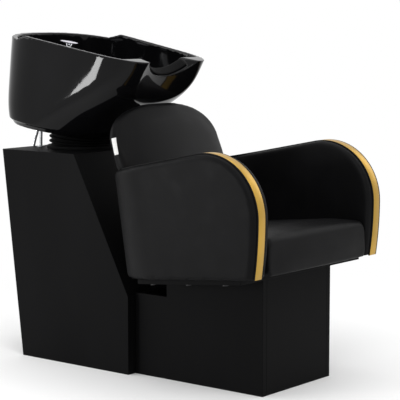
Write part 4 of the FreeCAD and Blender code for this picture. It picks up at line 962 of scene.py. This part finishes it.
class BACKWASH_OT_seat(bpy.types.Operator):
    """Plump the seat cushion"""
    bl_idname = "backwash.seat"
    bl_label = "Seat"

    def execute(self, context):
        held_depth = 0.010
        finish = leather_finish("seat_leatherette", colours().leather, gloss=0.36)
        piece = joined_copy("seat_cover", ["seat_cushion"], finish)
        remeshed(piece, sizes().seat_voxel, smoothing=4)

        def held(p):
            return p.z < UNDERSIDE_FRONT - UNDERSIDE_SLOPE * (p.y - ARM_TOE_Y) + held_depth

        plumped(piece, sizes().pad_pressure, sizes().seat_swell, held, shrink=0.003)
        subdivided(piece)
        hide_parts("seat_cushion")
        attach(piece, "frame")
        return {"FINISHED"}


class BACKWASH_OT_backrest(bpy.types.Operator):
    """Plump the backrest and sew on its blank tag"""
    bl_idname = "backwash.backrest"
    bl_label = "Backrest"

    def execute(self, context):
        held_height = 0.02
        held_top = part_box("backrest_cushion")[0].z + held_height
        finish = leather_finish("back_leatherette", colours().leather, gloss=0.36)
        piece = joined_copy("back_cover", ["backrest_cushion"], finish)
        remeshed(piece, sizes().back_voxel, smoothing=8)
        plumped(piece, sizes().pad_pressure, sizes().back_swell, lambda p: p.z < held_top,
                shrink=0.004)
        subdivided(piece)
        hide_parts("backrest_cushion")
        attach(piece, "frame")
        self.tag(piece)
        return {"FINISHED"}

    def tag(self, cover):
        """Blank folded tag, laid on the cover beside its seam."""
        corners = [v.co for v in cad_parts["backrest_tag"].data.vertices]
        middle = sum(corners, Vector()) / len(corners)
        upright = Vector((0, math.sin(TAG_LEAN), math.cos(TAG_LEAN)))
        outward = Vector((-math.cos(TAG_TURN), -math.sin(TAG_TURN), 0))
        across = outward.cross(upright).normalized()
        outward = upright.cross(across).normalized()
        skin = BVHTree.FromPolygons([v.co for v in cover.data.vertices],
                                    [p.vertices for p in cover.data.polygons])
        wide, tall = 8, 24
        inner, outer = [], []
        for i in range(tall + 1):
            for k in range(wide + 1):
                over = (middle + across * (TAG_WIDTH * (k / wide - 0.5))
                        + upright * (TAG_HEIGHT * (i / tall - 0.5)))
                hit = skin.ray_cast(over + outward * TAG_REACH, -outward, 2 * TAG_REACH)[0]
                lies = hit or over
                inner.append(lies + outward * TAG_LIFT)
                edge = max(0.0, abs(2.0 * k / wide - 1.0) - TAG_FOLD_FROM) / (1 - TAG_FOLD_FROM)
                thick = TAG_THICKNESS * (1.0 - TAG_FOLD_THINS * edge)
                outer.append(lies + outward * (TAG_LIFT + thick))
        count = len(inner)
        row = wide + 1
        faces = []
        for i in range(tall):
            for k in range(wide):
                corner = (i * row + k, i * row + k + 1, (i + 1) * row + k + 1, (i + 1) * row + k)
                faces.append([count + n for n in corner])
                faces.append(list(reversed(corner)))
        border = (list(range(wide)) + [i * row + wide for i in range(tall)]
                  + [tall * row + k for k in range(wide, 0, -1)]
                  + [i * row for i in range(tall, 0, -1)])
        for first, second in zip(border, border[1:] + border[:1]):
            faces.append([first, second, count + second, count + first])
        made = bmesh.new()
        verts = [made.verts.new(place) for place in inner + outer]
        for face in faces:
            made.faces.new([verts[n] for n in face])
        mesh = closed_mesh("tag_woven", made)
        piece = new_piece("tag_woven", mesh, woven_finish("woven_tag", colours().tag))
        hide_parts("backrest_tag")
        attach(piece, "frame")


class BACKWASH_OT_trim(bpy.types.Operator):
    """Finish the gold bands on the arms and lay the welts beside them"""
    bl_idname = "backwash.trim"
    bl_label = "Gold bands"

    def execute(self, context):
        gold = gold_finish("satin_gold", colours().gold)
        dress(["arm_trim_left", "arm_trim_right"], gold, ease=0.0006)
        finish = leather_finish("welt_leatherette", colours().leather, gloss=0.34)
        radius = sizes().piping_width / 2
        edges = (("outer", BAND_SETBACK - radius), ("inner", BAND_SETBACK + BAND_WIDTH + radius))
        for side_name, side in (("left", -1), ("right", 1)):
            for edge_name, inward in edges:
                name = "welt_%s_%s" % (side_name, edge_name)
                line = self.edge_line(side, inward, radius * WELT_PROUD)
                mesh = tube_mesh(name, line, lambda run: radius, sides=10)
                piece = new_piece(name, mesh, finish)
                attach(piece, "frame")
        return {"FINISHED"}

    def edge_line(self, side, inward, proud):
        """Line along crest and front of an arm, at a distance from its outer face."""
        centre_y = CREST_FRONT[0] - FRONT_RADIUS * math.sin(CREST_SLOPE)
        centre_z = CREST_FRONT[1] - FRONT_RADIUS * math.cos(CREST_SLOPE)
        profile = []
        for i in range(WELT_STEPS):
            y = BAND_REAR_Y + (CREST_FRONT[0] - BAND_REAR_Y) * i / WELT_STEPS
            z = CREST_FRONT[1] - math.tan(CREST_SLOPE) * (y - CREST_FRONT[0])
            profile.append((y + proud * math.sin(CREST_SLOPE), z + proud * math.cos(CREST_SLOPE)))
        for i in range(WELT_STEPS):
            angle = math.pi / 2 - CREST_SLOPE + (math.pi / 2 + CREST_SLOPE) * i / WELT_STEPS
            profile.append((centre_y + (FRONT_RADIUS + proud) * math.cos(angle),
                            centre_z + (FRONT_RADIUS + proud) * math.sin(angle)))
        lower_radius = (LOWER_DROP ** 2 + LOWER_DRAW_IN ** 2) / (2 * LOWER_DRAW_IN)
        lower_y = centre_y - FRONT_RADIUS + lower_radius
        turn = math.asin(LOWER_DROP / lower_radius)
        for i in range(WELT_LOWER_STEPS + 1):
            angle = turn * i / WELT_LOWER_STEPS
            profile.append((lower_y - (lower_radius + proud) * math.cos(angle),
                            centre_z - (lower_radius + proud) * math.sin(angle)))
        points = []
        for y, z in profile:
            past = y - (TUB_BACK + TUB_LEAN * z - TUB_CORNER)
            reach = TUB_CORNER - inward
            across = math.sqrt(reach ** 2 - past ** 2) if past > 0 else reach
            points.append(Vector((side * (TUB_HALF - TUB_CORNER + across), y, z)))
        return points


class BACKWASH_OT_stage(bpy.types.Operator):
    """Set the floor, backdrop, lights and camera"""
    bl_idname = "backwash.stage"
    bl_label = "Stage"

    def execute(self, context):
        scene = context.scene
        self.floor()
        self.world(scene)
        for lamp in LAMPS:
            self.lamp(scene, *lamp)
        self.camera(scene)
        scene.view_settings.view_transform = "Standard"
        return {"FINISHED"}

    def floor(self):
        """Pale floor that fades into the white backdrop away from the unit."""
        f, place = begun("pale_floor")
        reach = f.node("ShaderNodeVectorMath", {"operation": "LENGTH"}, {0: place}, output="Value")
        away = f.limits(reach, FADE_FROM, FADE_TO)
        ground = f.node("ShaderNodeBsdfDiffuse", {}, {"Color": tint(colours().stage)})
        glow = f.node("ShaderNodeEmission", {}, {"Color": WHITE, "Strength": 1.0})
        mixed = f.node("ShaderNodeMixShader", {}, {0: away * f.looked_at(), 1: ground, 2: glow})
        f.node("ShaderNodeOutputMaterial", {}, {"Surface": mixed})
        mesh = bpy.data.meshes.new("studio_floor")
        far = FLOOR_HALF
        mesh.from_pydata([(-far, -far, 0), (far, -far, 0), (far, far, 0), (-far, far, 0)], [],
                         [(0, 1, 2, 3)])
        new_piece("studio_floor", mesh, f.owner, smooth=False)

    def world(self, scene):
        """White surroundings for the eye and for reflections, a plain level of light otherwise."""
        scene.world = bpy.data.worlds.new("studio")
        f = Finish(scene.world)
        plain = f.node("ShaderNodeBackground", {}, {"Color": WHITE, "Strength": SURROUNDING_LIGHT})
        white = f.node("ShaderNodeBackground", {}, {"Color": WHITE, "Strength": 1.0})
        mixed = f.node("ShaderNodeMixShader", {}, {0: f.looked_at(), 1: plain, 2: white})
        f.node("ShaderNodeOutputWorld", {}, {"Surface": mixed})

    def lamp(self, scene, name, place, target, width, height, power):
        """Rectangular softbox turned to a target."""
        light = bpy.data.lights.new(name, "AREA")
        light.shape = "RECTANGLE"
        light.size = width
        light.size_y = height
        light.energy = power
        lamp = bpy.data.objects.new(name, light)
        scene.collection.objects.link(lamp)
        lamp.location = place
        aim = Vector(target) - Vector(place)
        lamp.rotation_euler = aim.to_track_quat("-Z", "Y").to_euler()

    def camera(self, scene):
        """Camera at the photograph's place."""
        lens = bpy.data.cameras.new("photo_camera")
        lens.sensor_width = SENSOR_WIDTH
        lens.sensor_fit = "HORIZONTAL"
        lens.lens = FOCAL_LENGTH
        camera = bpy.data.objects.new("photo_camera", lens)
        scene.collection.objects.link(camera)
        camera.location = CAMERA_PLACE
        camera.rotation_euler = (math.radians(90.0 - CAMERA_DIP), 0.0, math.radians(CAMERA_TURN))
        scene.camera = camera


class BACKWASH_PT_panel(bpy.types.Panel):
    """Pieces of the backwash unit"""
    bl_idname = "BACKWASH_PT_panel"
    bl_label = "Backwash"
    bl_space_type = "VIEW_3D"
    bl_region_type = "UI"
    bl_category = "Backwash"

    def draw(self, context):
        for operator in OPERATORS:
            self.layout.operator(operator.bl_idname)
        for group in (context.scene.backwash_sizes, context.scene.backwash_colours):
            box = self.layout.box()
            for name in group.__annotations__:
                box.prop(group, name)


OPERATORS = (
    BACKWASH_OT_boards, BACKWASH_OT_fittings, BACKWASH_OT_basin, BACKWASH_OT_neck_rest,
    BACKWASH_OT_bellows, BACKWASH_OT_hoses, BACKWASH_OT_shower_hose, BACKWASH_OT_taps,
    BACKWASH_OT_tub, BACKWASH_OT_seat, BACKWASH_OT_backrest, BACKWASH_OT_trim, BACKWASH_OT_stage,
)
CLASSES = (BackwashSizes, BackwashColours) + OPERATORS + (BACKWASH_PT_panel,)


def register():
    for made in CLASSES:
        bpy.utils.register_class(made)
    bpy.types.Scene.backwash_sizes = bpy.props.PointerProperty(type=BackwashSizes)
    bpy.types.Scene.backwash_colours = bpy.props.PointerProperty(type=BackwashColours)


def unregister():
    del bpy.types.Scene.backwash_colours
    del bpy.types.Scene.backwash_sizes
    for made in reversed(CLASSES):
        bpy.utils.unregister_class(made)


def main():
    register()
    for operator in OPERATORS:
        group, name = operator.bl_idname.split(".")
        getattr(getattr(bpy.ops, group), name)()


if __name__ == "__main__":
    main()
